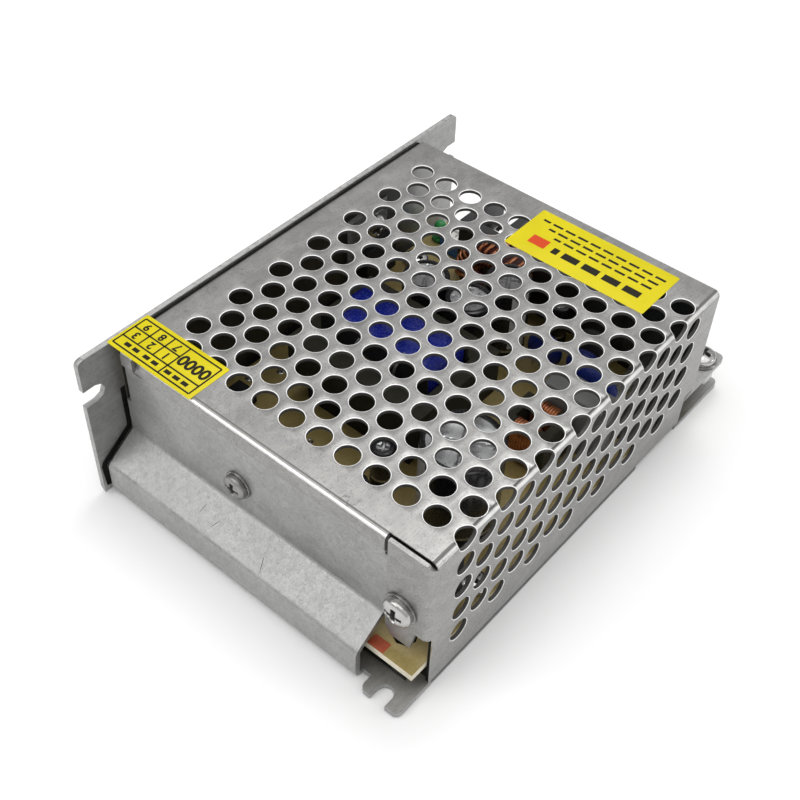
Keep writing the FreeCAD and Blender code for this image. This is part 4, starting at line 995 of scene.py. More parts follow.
    def kept(self, mu: Array, mv: Array) -> Array:
        """Which squares of the flat sheet are metal: the field less its notches and reliefs."""
        folded = mu < self.line
        flange = folded & (mv < self.v_of_side(self.top - self.bend - 0.3))
        flange &= mv > self.v_of_side(self.flange_low + 0.3)
        flange &= ~((mu > self.edge - self.relief_gap) & (mv < self.v_of_side(self.flange_relief)))
        lip = folded & (mu > self.edge - self.lip_tall) & (mv > self.lip_right)
        lip &= (mv < self.v_of_top(self.lip_left)) & ~((mv > self.notch - self.notch_wide) & (mv < self.notch))
        metal = (mu > self.line) | flange | lip
        metal &= ~((mu > self.far - self.far_cut) & (mv < self.v_of_side(self.far_cut_top)))
        metal &= ~((mu < self.near + self.near_cut) & (mv > self.left_line + 0.7 * self.left_arc))
        return metal

    def fold_light_marks(self, mu: Array, mv: Array) -> Array:
        """Number of the painted highlight down each fold, or of the painted shade beside it, else 0."""
        lip = (mu < self.line - 0.34 * self.arc) & (mu > self.edge + 0.34 * self.arc) & (mv > self.arc)
        side = (np.abs(mv + 0.1) < 0.2 * self.arc) & (mu > self.edge)
        inner_lip = (mu < self.line) & (mu > self.line - 0.18 * self.arc) & (mv > self.arc)
        inner_side = (mv < 0.5 * self.arc) & (mv > 0.32 * self.arc) & (mu > self.edge)
        return np.where(lip | side, self.fold_highlight_mark, np.where(inner_lip | inner_side, self.crease_shade_mark, 0))

    def hole_cells(self, u0: int, v0: int) -> list[tuple[int, int]]:
        """Line numbers of every hole's centre: rows alternate, and even rows have one on the fold."""
        found = []
        for row in range(self.row_count):
            first = self.first_knot + 1 + row % 2
            i = u0 + self.half_u * (2 * row + 1)
            found += [(i, v0 + self.half_v * (step - self.first_knot))
                      for step in range(first, self.last_knot - 1 + row % 2, 2)]
        return found

    def edge_walls(self, solid: Array, number: Array) -> list[Array]:
        """The cut wall along every side of a metal square that has no metal beyond it, its burr first."""
        padded = np.pad(solid, 1)
        inside, outside = number.size, 2 * number.size
        walls = []
        for di, dj, first, second in ((-1, 0, (0, 0), (0, 1)), (1, 0, (1, 1), (1, 0)), (0, -1, (1, 0), (0, 0)),
                                      (0, 1, (0, 1), (1, 1))):
            beyond = padded[1 + di : padded.shape[0] - 1 + di, 1 + dj : padded.shape[1] - 1 + dj]
            i, j = np.nonzero(solid & ~beyond)
            p = number[i + first[0], j + first[1]]
            q = number[i + second[0], j + second[1]]
            walls.append(np.stack([p, q, q + outside, p + outside], -1))
            walls.append(np.stack([p + outside, q + outside, q + inside, p + inside], -1))
        return walls

    def rims(self, cells: list[tuple[int, int]], uu: Array, vv: Array,
             number: Array) -> tuple[Array, list[Array]]:
        """Rings from each cell's edge to its hole, down the punched wall, and back to the edge inside.

        Ring k of a hole is centre + radius(k) * (cos t, sin t) on the flat sheet at depth w(k).

        Args:
            cells: Line numbers of the holes' centres.
            uu: The u of every line crossing.
            vv: The v of every line crossing.
            number: The number of every line crossing.

        Returns:
            The new places, and the faces of each ring.
        """
        i, j = np.array(cells).T
        p, q = self.half_u, self.half_v
        round_u = [p] * q + [*range(p, -p, -1)] + [-p] * 2 * q + [*range(-p, p)] + [p] * q
        round_v = [*range(q)] + [q] * 2 * p + [*range(q, -q, -1)] + [-q] * 2 * p + [*range(-q, 0)]
        edge = number[i[:, None] + np.array(round_u), j[:, None] + np.array(round_v)]
        sides = edge.shape[1]
        t = around(sides)
        levels = ((self.hole + 0.14, 0.0), (self.hole + 0.02, 0.04), (self.hole, 0.1), (self.hole, self.sheet))
        centre_u, centre_v = uu[i, j][:, None], vv[i, j][:, None]
        rings = [self.fold(centre_u + r * np.cos(t), centre_v + r * np.sin(t), np.full((len(i), sides), w))
                 for r, w in levels]
        points = np.concatenate([ring.reshape(-1, 3) for ring in rings])
        added = 3 * number.size + np.arange(len(points)).reshape(len(levels), len(i), sides)
        numbers = [edge, *added, edge + number.size]
        faces = []
        for here, there in zip(numbers[:-1], numbers[1:]):
            after, beyond = np.roll(here, -1, axis=1), np.roll(there, -1, axis=1)
            faces.append(np.stack([here, after, beyond, there], -1).reshape(-1, 4))
        return points, faces

    def dress(self, shop: Workshop) -> None:
        """Put the cover in place of its plain solid."""
        shop.stand_in("cover_sheet", self.build(), "galvanised_cover", "mesh_cover", 28, self.finishes)


@dataclass
class MachineScrew:
    """A pan-head screw with a cross recess and a rolled thread, its head's underside on the origin."""

    length: float
    head: float = 3.0
    height: float = 1.9
    shank: float = 1.5
    pitch: float = 0.5
    recess: float = 1.15

    def surface(self) -> Surface:
        """Head and shank as one set of rings.

        The head's face is z = h (1 - 0.32 (r/R)^3.2) less a recess of cross section: its depth is D
        where the smaller of |x| and |y| is under the arm's half width, fading towards the arm's end.
        The thread is r = r0 - 0.27 p (1 - cos(2 pi z/p - t)) / 2.
        """
        t = around(72)
        share = np.linspace(0.0, 1.0, 22)[:, None]
        r = self.head * share * 0.93
        x, y = np.abs(r * np.cos(t)), np.abs(r * np.sin(t))
        arm = np.clip((0.16 * self.head - np.minimum(x, y)) / (0.04 * self.head), 0, 1)
        fade = np.clip((0.6 * self.head - np.maximum(x, y)) / (0.22 * self.head), 0, 1)
        sunk = arm * fade**0.6
        face = self.height * (1 - 0.32 * share**3.2) - self.recess * sunk
        rounds = np.array([(0.985, 0.55), (1.0, 0.4), (1.0, 0.1), (0.97, 0.0)])
        rim = round_axis(self.head * rounds[:, :1], self.height * rounds[:, 1:], t)
        z = -np.linspace(0.0, self.length, max(8, int(self.length / self.pitch * 7)))[:, None]
        wave = 0.5 - 0.5 * np.cos(2 * math.pi * z / self.pitch - t)
        point = 0.75 + 0.25 * np.clip((z + self.length) / 0.5, 0, 1)
        shank = round_axis((self.shank - 0.27 * self.pitch * wave) * point, z, t)
        tip = round_axis(np.zeros((1, 1)), -self.length, t)
        whole = Surface.grid(np.concatenate([round_axis(r, face, t), rim, shank, tip]), closed=True)
        dark = np.zeros((len(whole.quads) // t.size, t.size))
        dark[: len(share)] = sunk > 0.35
        return Surface(whole.points, whole.quads, dark.reshape(-1))


def washer(outer: float = 3.4) -> Surface:
    """A flat washer with eased rims: a rounded rectangle carried round the axis."""
    inner, sheet, e = 1.75, 0.5, 0.08
    profile = [(inner, e), (inner + e, 0), (outer - e, 0), (outer, e), (outer, sheet - e), (outer - e, sheet),
               (inner + e, sheet), (inner, sheet - e), (inner, e)]
    return lathe(profile, 48)


@dataclass
class CaseFixings:
    """Screws, washers and nut that hold the case together."""

    cover_spot: Spot = (-48.1, -33.0, 20.0)
    end_spot: Spot = (-47.1, 6.5, 20.0)
    ledge_spot: Spot = (50.6, -35.6, 9.1)
    washer_sheet: float = 0.5

    def dress(self, shop: Workshop) -> None:
        """Make the fixings and put them in place of their plain solids."""
        end_screw = MachineScrew(8.7, head=2.6, height=1.5, recess=0.9)
        shop.screw("cover_fixing", MachineScrew(5.6).surface().placed(Axis.NEAR, self.cover_spot), "cover_screw")
        shop.screw("end_fixing", end_screw.surface().placed(Axis.NEAR, self.end_spot), "transistor_screw",
                   "dull_screw")
        shop.screw("ledge_fixing", MachineScrew(5.0).surface().moved(*self.ledge_spot), "ledge_screw")
        behind, under = (self.washer_sheet, 0.0, 0.0), (0.0, 0.0, -self.washer_sheet)
        rings = [washer().placed(Axis.NEAR, np.add(self.cover_spot, behind)),
                 washer(3.0).placed(Axis.NEAR, np.add(self.end_spot, behind)),
                 washer().moved(*np.add(self.ledge_spot, under))]
        # The washers' darker tone is painted shade round the screw heads.
        shop.stand_in("fixing_washers", rings, "plated_washer_painted_shade", "screw_washers")
        shop.softened("ledge_nut", "plated_screw", 0.15)
        inner_screw = MachineScrew(2.8)
        low, high = shop.low_high("rectifier_screw")
        spot = ((low[0] + high[0]) / 2, low[1] + inner_screw.height, (low[2] + high[2]) / 2)
        shop.screw("rectifier_fixing", inner_screw.surface().placed(Axis.RIGHT, spot), "rectifier_screw")


@dataclass
class Tray:
    """The folded tray under and behind the cover, its sheet's handling marks, and painted light and shade.

    scratches on the slope are a place along Y, a start and a length up the slope, and a lean. cut_edge is
    the top edge of the side wall, with a painted highlight; the strip under the cover's lip is a painted shadow
    line, and cover_gap is painted shade in the gap at the cover's left edge, each by two corners. end_outline is
    the end wall's outline in X and Z, and gap_shift its gap's width.
    """

    slope_foot: Pair = (-53.8, 8.0)
    slope_head: Pair = (-46.6, 13.2)
    cut_edge: tuple[Spot, Spot] = ((-53.4, 37.96, 36.012), (53.4, 38.84, 36.012))
    lip_shadow: tuple[Spot, Spot] = ((-46.62, -28.8, 30.68), (-46.62, 35.4, 31.04))
    cover_gap: tuple[Spot, Spot] = ((-45.5, 37.02, 35.45), (41.0, 37.78, 35.45))
    gap_y: float = 37.785
    end_outline: tuple[Pair, ...] = (
        (-54.2, 1.6), (-54.6, 7.4), (-54.2, 8.4), (-47.2, 13.6), (-47.0, 14.6), (-47.0, 24.0))
    gap_shift: tuple[Pair, ...] = ((1.3, -0.2), (1.2, -0.6), (1.0, -1.0), (1.0, -1.0), (1.1, -0.6), (1.1, 0.0))
    scratches: tuple[tuple[float, float, float, float], ...] = (
        (-4.0, 1.2, 3.2, 0.35), (9.9, 2.4, 2.3, -0.49), (13.6, 3.4, 2.3, -0.18))

    def dress(self, shop: Workshop) -> None:
        """Ease the edges, scratch the slope, and paint a highlight on the top edge and shade under the lip and in
        gaps.
        """
        shop.softened("chassis", "mill_tray", 0.14)
        shop.piece("tray_marks", [self.scratch(*mark) for mark in self.scratches], "scratch_and_shadow_dark", "chassis")
        shop.piece("side_wall_top_highlight", patch(*self.cut_edge), "painted_edge_highlight", "chassis")
        shop.piece("lip_shadow_strip", patch(*self.lip_shadow), "scratch_and_shadow_dark", "chassis")
        shop.piece("end_wall_gap_shade", [self.seam(), patch(*self.cover_gap)], "seam_shade", "chassis")

    def scratch(self, y: float, start: float, length: float, lean: float) -> Surface:
        """A scratch on the slope, whose half width is 0.07 sin(pi s) + 0.005."""
        foot, head = np.array(self.slope_foot), np.array(self.slope_head)
        along = (head - foot) / np.linalg.norm(head - foot)
        out = np.array([-along[1], along[0]])
        s = np.linspace(0, 1, 9)
        wide = 0.07 * np.sin(math.pi * s) + 0.005
        place = foot + (start + length * s)[:, None] * along + 0.012 * out
        edges = [np.stack([place[:, 0], y + lean * length * s + side * wide, place[:, 1]], -1) for side in (-1, 1)]
        return Surface.grid(np.stack(edges))

    def seam(self) -> Surface:
        """Painted shade in the gap between side wall and end wall: a strip that follows the end wall's outline."""
        edges = [np.insert(np.add(self.end_outline, side * np.array(self.gap_shift)), 1, self.gap_y, axis=1)
                 for side in (-0.05, 1.0)]
        return Surface.grid(np.stack(edges))


@dataclass
class Board:
    """Circuit board with pale cut edges, a red mask mark, solder fillets and its fixings.

    pads are where leads come through the board beside the open places of the near end. The dark upright strip
    by the terminal block is painted shade where the far holes would show the floor; its place in X is counted
    from the terminal block.
    """

    mask: tuple[Pair, Pair] = ((-50.2, -31.4), (-47.8, -27.8))
    shade_strip_y: Pair = (-37.4, -22.0)
    shade_strip_x: Pair = (-0.9, -0.5)
    shade_strip_top: float = 33.6
    fixings: tuple[Pair, ...] = ((-42.3, 32.6), (35.8, 32.6), (-28.3, -34.1))
    pads: tuple[Pair, ...] = (
        (-46.0, -20.0), (-46.2, -12.5), (-40.0, -6.0), (-22.5, 12.0), (-22.5, 16.5), (-42.0, 22.0),
        (-18.0, 34.0), (-12.0, 30.5), (2.0, 33.6), (12.0, 34.0), (-26.0, -14.0), (-38.5, -33.0))

    def dress(self, shop: Workshop) -> None:
        """Dress the board and what holds it."""
        board = shop.softened("circuit_board", "tan_laminate", 0.08, ("pale_laminate_edge",))
        for face in board.polygons:
            if abs(face.normal.z) < 0.5:
                face.material_index = 1
        near, far = self.mask
        mark = rounded_block((*near, BOARD_TOP - 0.02), (*far, BOARD_TOP + 0.03), 0.2, 0.02)
        shop.piece("mask_mark", mark, "red_mask", "circuit_board")
        shop.piece("solder_fillets", [self.fillet(x, y) for x, y in self.pads], "solder", "circuit_board")
        shop.softened("insulating_film", "dark_film", 0.05)
        # A dark upright strip by the terminal block: painted shade where the far holes would show the floor.
        housing_x = shop.low_high("terminal_housing")[0][0]
        top = shop.low_high("circuit_board")[1][2]
        (x0, x1), (y0, y1) = np.add(self.shade_strip_x, housing_x), self.shade_strip_y
        barrier = rounded_block((x0, y0, top), (x1, y1, self.shade_strip_top), 0.15, 0.05)
        shop.piece("end_shade_strip", barrier, "dark_film", "insulating_film")
        long_screw = MachineScrew(BOARD_TOP - shop.low_high("board_screws")[0][2]).surface()
        shop.screw("board_fixings", [long_screw.moved(x, y, BOARD_TOP) for x, y in self.fixings], "board_screws")
        shop.softened("board_spacers", "tinned_metal", 0.1)

    def fillet(self, x: float, y: float) -> Surface:
        """A small cone of solder round a lead end: r = 0.9 - 0.6 s and z = 0.55 s^2 up to the lead."""
        cone = [(0.9 - 0.6 * s, 0.55 * s**2) for s in np.linspace(0, 1, 6)]
        return lathe([(0.0, 0.0), *cone, (0.28, 0.9), (0.0, 0.95)], 14).moved(x, y, BOARD_TOP - 0.02)


@dataclass
class Terminals:
    """Five-way barrier block with its clamps and screws."""

    ways: int = 5
    head: float = 2.2

    def dress(self, shop: Workshop) -> None:
        """Dress the block and each way's moving screw and clamp."""
        shop.softened("terminal_housing", "terminal_black", 0.25)
        shop.softened("terminal_contacts", "tinned_metal", 0.1)
        for way in range(1, self.ways + 1):
            low, high = shop.low_high(f"terminal_screw_{way}")
            base = high[2] - self.head
            screw = MachineScrew(base - low[2], height=self.head, recess=1.3).surface()
            placed = screw.moved((low[0] + high[0]) / 2, (low[1] + high[1]) / 2, base)
            shop.screw(f"way_screw_{way}", placed, f"terminal_screw_{way}")
            shop.softened(f"terminal_clamp_{way}", "tinned_metal", 0.18)


@dataclass
class Electrolytic:
    """An electrolytic capacitor: scored can top in a shrunk sleeve with a crimp and a pale stripe."""

    x: float
    y: float
    radius: float
    tall: float

    def can(self) -> Surface:
        """The bare can: its top is a shallow dish with two crossed scores pressed into it.

        z = top - 0.25 - 0.22 (1 - (r/R)^2) - score, where the score is deep near either of two crossed lines.
        """
        t = around(96)
        share = np.linspace(0, 1, 26)[:, None]
        r = (self.radius - 0.6) * share
        x, y = r * np.cos(t), r * np.sin(t)
        turned = 0.5
        p = np.abs(x * math.cos(turned) + y * math.sin(turned))
        q = np.abs(-x * math.sin(turned) + y * math.cos(turned))
        score = np.clip((0.42 - np.minimum(p, q)) / 0.2, 0, 1) * np.clip((0.74 * self.radius - r) / 0.5, 0, 1)
        face = self.tall - 0.25 - 0.22 * (1 - share**2) - 0.5 * score
        wall = self.radius - 0.28
        body = np.array([(self.radius - 0.45, self.tall - 0.3), (wall, self.tall - 0.6), (wall, 0.0), (0.0, 0.0)])
        rings = [round_axis(r, face, t), round_axis(body[:, :1], body[:, 1:], t)]
        return Surface.grid(np.concatenate(rings), closed=True).moved(self.x, self.y, BOARD_TOP)

    def sleeve(self) -> Surface:
        """The sleeve: a thin shell with a crimped groove near its foot and a lip rolled over the can's rim."""
        r, h = self.radius, self.tall
        outside = [(r - 0.3, 0.0), (r, 0.3), (r, 2.2), (r - 0.35, 2.8), (r - 0.35, 3.2), (r, 3.8), (r, h - 0.5),
                   (r - 0.12, h - 0.15), (r - 0.5, h), (r - 1.1, h - 0.02), (r - 1.1, h - 0.22)]
        inside = [(r - 0.5, h - 0.26), (r - 0.26, h - 0.6), (r - 0.26, 3.8), (r - 0.6, 3.2), (r - 0.6, 2.8),
                  (r - 0.26, 2.2), (r - 0.26, 0.2), (r - 0.3, 0.0)]
        return lathe(outside + inside, 64).moved(self.x, self.y, BOARD_TOP)

    def stripe(self, turn: float) -> Surface:
        """The pale stripe printed down the sleeve: an arc of 48 degrees just outside it."""
        t = np.linspace(turn - 0.42, turn + 0.42, 12)
        z = np.array([4.0, self.tall - 0.7])[:, None]
        return Surface.grid(round_axis(self.radius + 0.02, z, t)).moved(self.x, self.y, BOARD_TOP)


@dataclass
class Capacitors:
    """The input capacitor, the three output capacitors and the three small ones."""

    big: Pair = (-18.0, -22.2)
    spots: tuple[Pair, ...] = ((15.2, 13.6), (15.4, 2.4), (25.7, 0.0))
    small_spots: tuple[Pair, ...] = ((-31.0, -8.0), (-21.0, -6.0), (35.0, -7.6))

    def dress(self, shop: Workshop) -> None:
        """Make cans and sleeves in place of their plain solids."""
        big = Electrolytic(*self.big, 8.0, 22.0)
        shop.stand_in("input_can", big.can(), "drawn_can", "input_capacitor_can", 30)
        shop.stand_in("input_sleeve", big.sleeve(), "sleeve_black", "input_capacitor_sleeve", 40)
        shop.piece("input_stripe", big.stripe(2.4), "sleeve_stripe", "input_capacitor_sleeve")
        output = [Electrolytic(x, y, 5.0, 19.6) for x, y in self.spots]
        node = "output_capacitor_sleeves"
        shop.stand_in("output_cans", [c.can() for c in output], "drawn_can", "output_capacitor_cans", 30)
        shop.stand_in("output_sleeves", [c.sleeve() for c in output], "sleeve_black", node, 40)
        stripes = [c.stripe(turn) for c, turn in zip(output, (1.2, -0.6, -1.9))]
        shop.piece("output_stripes", stripes, "sleeve_stripe", node)
        small = [Electrolytic(x, y, 2.5, 11.0) for x, y in self.small_spots]
        shop.stand_in("small_cans", [c.sleeve() for c in small], "sleeve_black", "small_capacitors", 40)
        shop.piece("small_tops", [c.can() for c in small], "drawn_can", "small_capacitors", smooth=30)


@dataclass
class Transformer:
    """Ferrite core clamped round a taped winding on its bobbin."""

    def dress(self, shop: Workshop) -> None:
        """Dress the core and bobbin, and wind the tape."""
        shop.softened("transformer_core", "ferrite", 0.35)
        shop.softened("transformer_bobbin", "chip_black", 0.15)
        low, high = shop.low_high("transformer_winding")
        shop.stand_in("taped_winding", self.winding(low, high), "tape_blue", "transformer_winding", 40)
        x, z = low[0], high[2]
        leads = [bent_lead([(x + 1.0, y, z - 0.2), (x - 1.6, y + 0.4, z - 3.0), (x - 3.2, y + 0.8, 12.0),
                            (x - 3.6, y + 1.0, 10.4)], 0.3) for y in (0.0, 10.0)]
        shop.piece("winding_leads", leads, "tinned_metal", "transformer_winding")

    def winding(self, low: Array, high: Array) -> Surface:
        """The tape: a rounded rectangle in Y and Z carried along X, each layer a step of the tape.

        Rings along X swell by 0.25 sin(pi s) and step in by 0.12 at each tape edge.
        """
        s = np.linspace(0, 1, 25)
        swell = 0.25 * np.sin(math.pi * s) - 0.12 * (np.abs(np.modf(s * 3)[0] - 0.5) > 0.44)
        wide, tall = high[1:] - low[1:] - 0.5
        rings = [rounded_outline(wide + 2 * w, tall + 2 * w, 3.0, 5) for w in swell]
        places = carried(rings, low[0] + (high[0] - low[0]) * np.array([0, *s, 1]))
        middle = np.array([*(low[1:] + high[1:]) / 2, 0.0])
        return Surface.grid(np.roll(places + middle, 1, axis=-1), closed=True)


@dataclass
class Chokes:
    """The output toroid and the line choke, each wound with its turns of wire."""

    ring_turns: int = 26
    ring_wire: float = 0.42
    leg_turns: int = 9
    leg_wire: float = 0.3
    steps: int = 16

    def dress(self, shop: Workshop) -> None:
        """Wind both chokes."""
        low, high = shop.low_high("output_choke_core")
        centre = (low + high) / 2
        outer, half = (high[1] - low[1]) / 2, (high[0] - low[0]) / 2
        inner, e = 0.59 * outer, 0.5
        profile = [(inner, -half + e), (inner + e, -half), (outer - e, -half), (outer, -half + e),
                   (outer, half - e), (outer - e, half), (inner + e, half), (inner, half - e), (inner, -half + e)]
        core = lathe(profile, 56).placed(Axis.FAR, centre)
        shop.stand_in("toroid_core", core, "core_red_brown", "output_choke_core", 40)
        coil = tube(self.round_toroid(outer, inner, half) + centre, self.ring_wire, 7)
        shop.stand_in("toroid_turns", coil, "copper_turns", "output_choke_winding", 60)
        shop.softened("line_choke_core", "ferrite", 0.3)
        low, high = shop.low_high("line_choke_coils")
        coils = [tube(self.round_leg(x, low, high), self.leg_wire, 7) for x in (low[0] + 1.75, high[0] - 1.75)]
        shop.stand_in("line_choke_turns", coils, "copper_turns", "line_choke_coils", 60)

    def round_toroid(self, outer: float, inner: float, half: float) -> Array:
        """The wire's path round a ring that faces along X.

        At turn angle a the wire goes round the ring's section: radius = middle + reach cos a and
        x = half sin a, both squared off, while the place round the ring moves on slowly.
        """
        s = np.linspace(0, 1, self.ring_turns * self.steps)
        a = 2 * math.pi * self.ring_turns * s
        place = -0.35 + 2 * math.pi * 0.86 * s
        grown = self.ring_wire + 0.02
        radius = (outer + inner) / 2 + ((outer - inner) / 2 + grown) * squared_off(np.cos(a), 0.45)
        x = (half + grown) * squared_off(np.sin(a), 0.45)
        return np.stack([x, radius * np.cos(place), radius * np.sin(place)], -1)

    def round_leg(self, x: float, low: Array, high: Array) -> Array:
        """The wire's path round a leg that runs along Y: a squared-off circle in X and Z that moves on."""
        s = np.linspace(0, 1, self.leg_turns * self.steps)
        a = 2 * math.pi * self.leg_turns * s
        reach = (high[2] - low[2]) / 2 - 0.32
        return np.stack([x + 1.45 * squared_off(np.cos(a), 0.4), low[1] + 0.35 + (high[1] - low[1] - 0.7) * s,
                         (low[2] + high[2]) / 2 + reach * squared_off(np.sin(a), 0.4)], -1)


@dataclass
class DippedDisc:
    """A disc-shaped part dipped in resin, on two crimped legs."""

    x: float
    y: float
    radius: float
    thick: float

    def disc(self) -> Surface:
        """A lens: r = R sin(a)^0.6 and depth = -T cos(a) / 2 over half a turn."""
        a = np.linspace(0, math.pi, 18)
        profile = np.stack([self.radius * np.clip(np.sin(a), 0, 1) ** 0.6, -self.thick / 2 * np.cos(a)], -1)
        return lathe(profile, 36).placed(Axis.FAR, (self.x, self.y, BOARD_TOP + self.radius + 1.5))

    def legs(self) -> list[Surface]:
        """Two legs that step in under the disc."""
        steps = ((2.5, 0.0), (2.5, 1.2), (1.9, 2.4), (1.9, self.radius))
        return [bent_lead([(self.x, self.y + side * out, BOARD_TOP + up) for out, up in steps], 0.32)
                for side in (-1, 1)]


@dataclass
class LineSide:
    """Fuse, discs, film capacitor and bridge of the mains side."""

    cap: float = 2.98

    def dress(self, shop: Workshop) -> None:
        """Dress the mains parts."""
        rows = (
            ("inrush_disc", "inrush_legs", "disc_black", "inrush_limiter", [DippedDisc(32.5, -18.5, 4.8, 4.6)]),
            ("surge_body", "surge_legs", "disc_blue", "surge_disc", [DippedDisc(21.0, -25.5, 6.4, 4.4)]),
            ("safety_discs", "safety_legs", "disc_blue", "safety_capacitors",
             [DippedDisc(26.8, -20.6, 4.6, 3.6), DippedDisc(26.4, -10.6, 4.2, 3.4)]),
        )
        for body, _, finish, node, discs in rows:
            shop.stand_in(body, [d.disc() for d in discs], finish, node, 50)
        for _, legs, _, node, discs in rows:
            shop.piece(legs, [leg for d in discs for leg in d.legs()], "tinned_metal", node)
        low, high = shop.low_high("film_capacitor")
        shop.stand_in("film_box", rounded_block(low, high, 0.7, 0.5), "case_grey", "film_capacitor", 40)
        shop.softened("bridge_rectifier", "chip_black", 0.4)
        self.dress_fuse(shop)

    def dress_fuse(self, shop: Workshop) -> None:
        """Glass fuse with its wire and caps."""
        low, high = shop.low_high("fuse_tube")
        y, z = (low[1:] + high[1:]) / 2
        long_x, r = high[0] - low[0], (high[2] - low[2]) / 2
        glass = lathe([(0, 0), (r - 0.05, 0), (r, 0.05), (r, long_x - 0.05), (r - 0.05, long_x), (0, long_x)], 32)
        shop.stand_in("fuse_glass", glass.placed(Axis.FAR, (low[0], y, z)), "fuse_glass", "fuse_tube")
        s = np.linspace(0, 1, 20)
        wire = np.stack([low[0] + long_x * s, y + 0.25 * np.sin(9 * s), z + 0.3 * np.sin(5 * s)], -1)
        shop.piece("fuse_wire", tube(wire, 0.09, 6), "tinned_metal", "fuse_tube")
        cap = lathe([(0, 0), (1.75, 0), (1.98, 0.2), (1.98, 2.75), (1.8, self.cap), (0, self.cap)], 32)
        ends = []
        for start, x in ((low[0] - self.cap, low[0] - 2.1), (high[0], high[0] + 2.1)):
            ends.append(cap.placed(Axis.FAR, (start, y, z)))
            ends.append(bent_lead([(x, y, z), (x, y, BOARD_TOP)], 0.4))
        shop.stand_in("fuse_ends", ends, "tinned_metal", "fuse_caps")


@dataclass
class SmallParts:
    """Chips, resistors, power devices and other small parts of the board.

    eased are nodes with a finish and the width of their eased edges. resistors are the start in X, the
    place in Y, the length and the radius.
    """

    eased: tuple[tuple[str, str, float], ...] = (
        ("control_chip", "chip_black", 0.2), ("optocoupler", "chip_black", 0.2),
        ("transistor_bodies", "chip_black", 0.3), ("transistor_tabs", "tinned_metal", 0.12),
        ("clamp_bar", "dull_screw", 0.2), ("insulating_pads", "grey_pad", 0.05),
        ("rectifier_body", "chip_black", 0.3), ("rectifier_tab", "tinned_metal", 0.12))
    resistors: tuple[tuple[float, float, float, float], ...] = (
        (-38.0, 26.0, 9.0, 1.6), (-34.0, 18.5, 6.4, 1.2), (-36.0, -13.2, 6.4, 1.2), (6.0, 30.0, 9.0, 1.6))
    clear: float = 0.2
    lead_out: float = 1.5

    def dress(self, shop: Workshop) -> None:
        """Dress the small parts."""
        for node, finish, width in self.eased:
            shop.softened(node, finish, width)
        barrels = [self.barrel(*size) for size in self.resistors]
        shop.stand_in("resistor_barrels", barrels, "resistor_lacquer", "resistors", 50)
        shop.piece("resistor_leads", [self.lead(*size) for size in self.resistors], "tinned_metal", "resistors")
        for k, (finish, shares) in enumerate((("band_brown", (0.25, 0.5)), ("band_gold", (0.75,)))):
            bands = [self.band(share, *size) for size in self.resistors for share in shares]
            shop.piece(f"resistor_bands_{k + 1}", bands, finish, "resistors", smooth=50)

    def radius_at(self, s: Array, radius: float) -> Array:
        """Radius along a resistor: two end beads and a slimmer waist."""
        off = np.abs(s - 0.5)
        bead = 0.14 * radius * np.exp(-(((off - 0.38) / 0.09) ** 2))
        return 0.86 * radius * np.clip((0.5 - off) / 0.04, 0, 1) ** 0.4 + bead

    def barrel(self, x: float, y: float, long_x: float, radius: float) -> Surface:
        """The lacquered barrel, turned round its own length."""
        s = np.linspace(0, 1, 30)
        profile = [(0.0, 0.0), *zip(self.radius_at(s, radius), s * long_x), (0.0, long_x)]
        return lathe(profile, 24).placed(Axis.FAR, (x, y, BOARD_TOP + self.clear + radius))

    def lead(self, x: float, y: float, long_x: float, radius: float) -> Surface:
        """The wire that comes up, goes through the barrel and down again."""
        start, end, z = x - self.lead_out, x + long_x + self.lead_out, BOARD_TOP + radius + self.clear
        return bent_lead([(start, y, BOARD_TOP), (start, y, z), (end, y, z), (end, y, BOARD_TOP)], 0.3)

    def band(self, share: float, x: float, y: float, long_x: float, radius: float) -> Surface:
        """A colour band just proud of the barrel, its rims sunk into it."""
        s = np.linspace(share - 0.03, share + 0.03, 3)
        r = self.radius_at(s, radius) + 0.02
        rows = [0, 0, 1, 2, 2]
        profile = np.stack([r[rows] - np.array([0.1, 0.0, 0.0, 0.0, 0.1]), s[rows] * long_x], -1)
        return lathe(profile, 24).placed(Axis.FAR, (x, y, BOARD_TOP + self.clear + radius))


@dataclass
class Indicators:
    """Status lamp and voltage trimmer."""

    def dress(self, shop: Workshop) -> None:
        """Dress the lamp and trimmer."""
        low, high = shop.low_high("status_lamp")
        x, y, z = (low[0] + high[0]) / 2, (low[1] + high[1]) / 2, low[2]
        a = np.linspace(0, math.pi / 2, 8)
        dome = zip(1.5 * np.cos(a), 3.9 + 1.5 * np.sin(a))
        lens = lathe([(0, 0), (1.85, 0), (1.9, 0.1), (1.9, 0.9), (1.8, 1.0), (1.5, 1.05), *dome], 36)
        shop.stand_in("lamp_lens", lens.moved(x, y, z), "lamp_green", "status_lamp")
        anvil = rounded_block((x - 0.6, y - 0.5, z + 0.4), (x + 0.6, y + 0.1, z + 2.4), 0.1, 0.1)
        shop.piece("lamp_anvil", anvil, "tinned_metal", "status_lamp")
        shop.softened("trimmer_body", "trimmer_blue", 0.2)
        shop.softened("trimmer_rotor", "white_nylon", 0.12)


@dataclass
class Ruling:
    """Lines of the corner sticker's grid: four across X and three across Y, inside the sticker's edges."""

    low: Array
    high: Array

    @property
    def x(self) -> Array:
        """The left edge, two inner lines and the right edge."""
        left, right = self.low[0] + 0.9, self.high[0] - 1.0
        return left + np.array([0.0, 0.30, 0.66, 1.0]) * (right - left)

    @property
    def y(self) -> Array:
        """The lower edge, the line over the long row, and the upper edge."""
        low, high = self.low[1] + 1.1, self.high[1] - 0.7
        return low + np.array([0.0, 0.40, 1.0]) * (high - low)


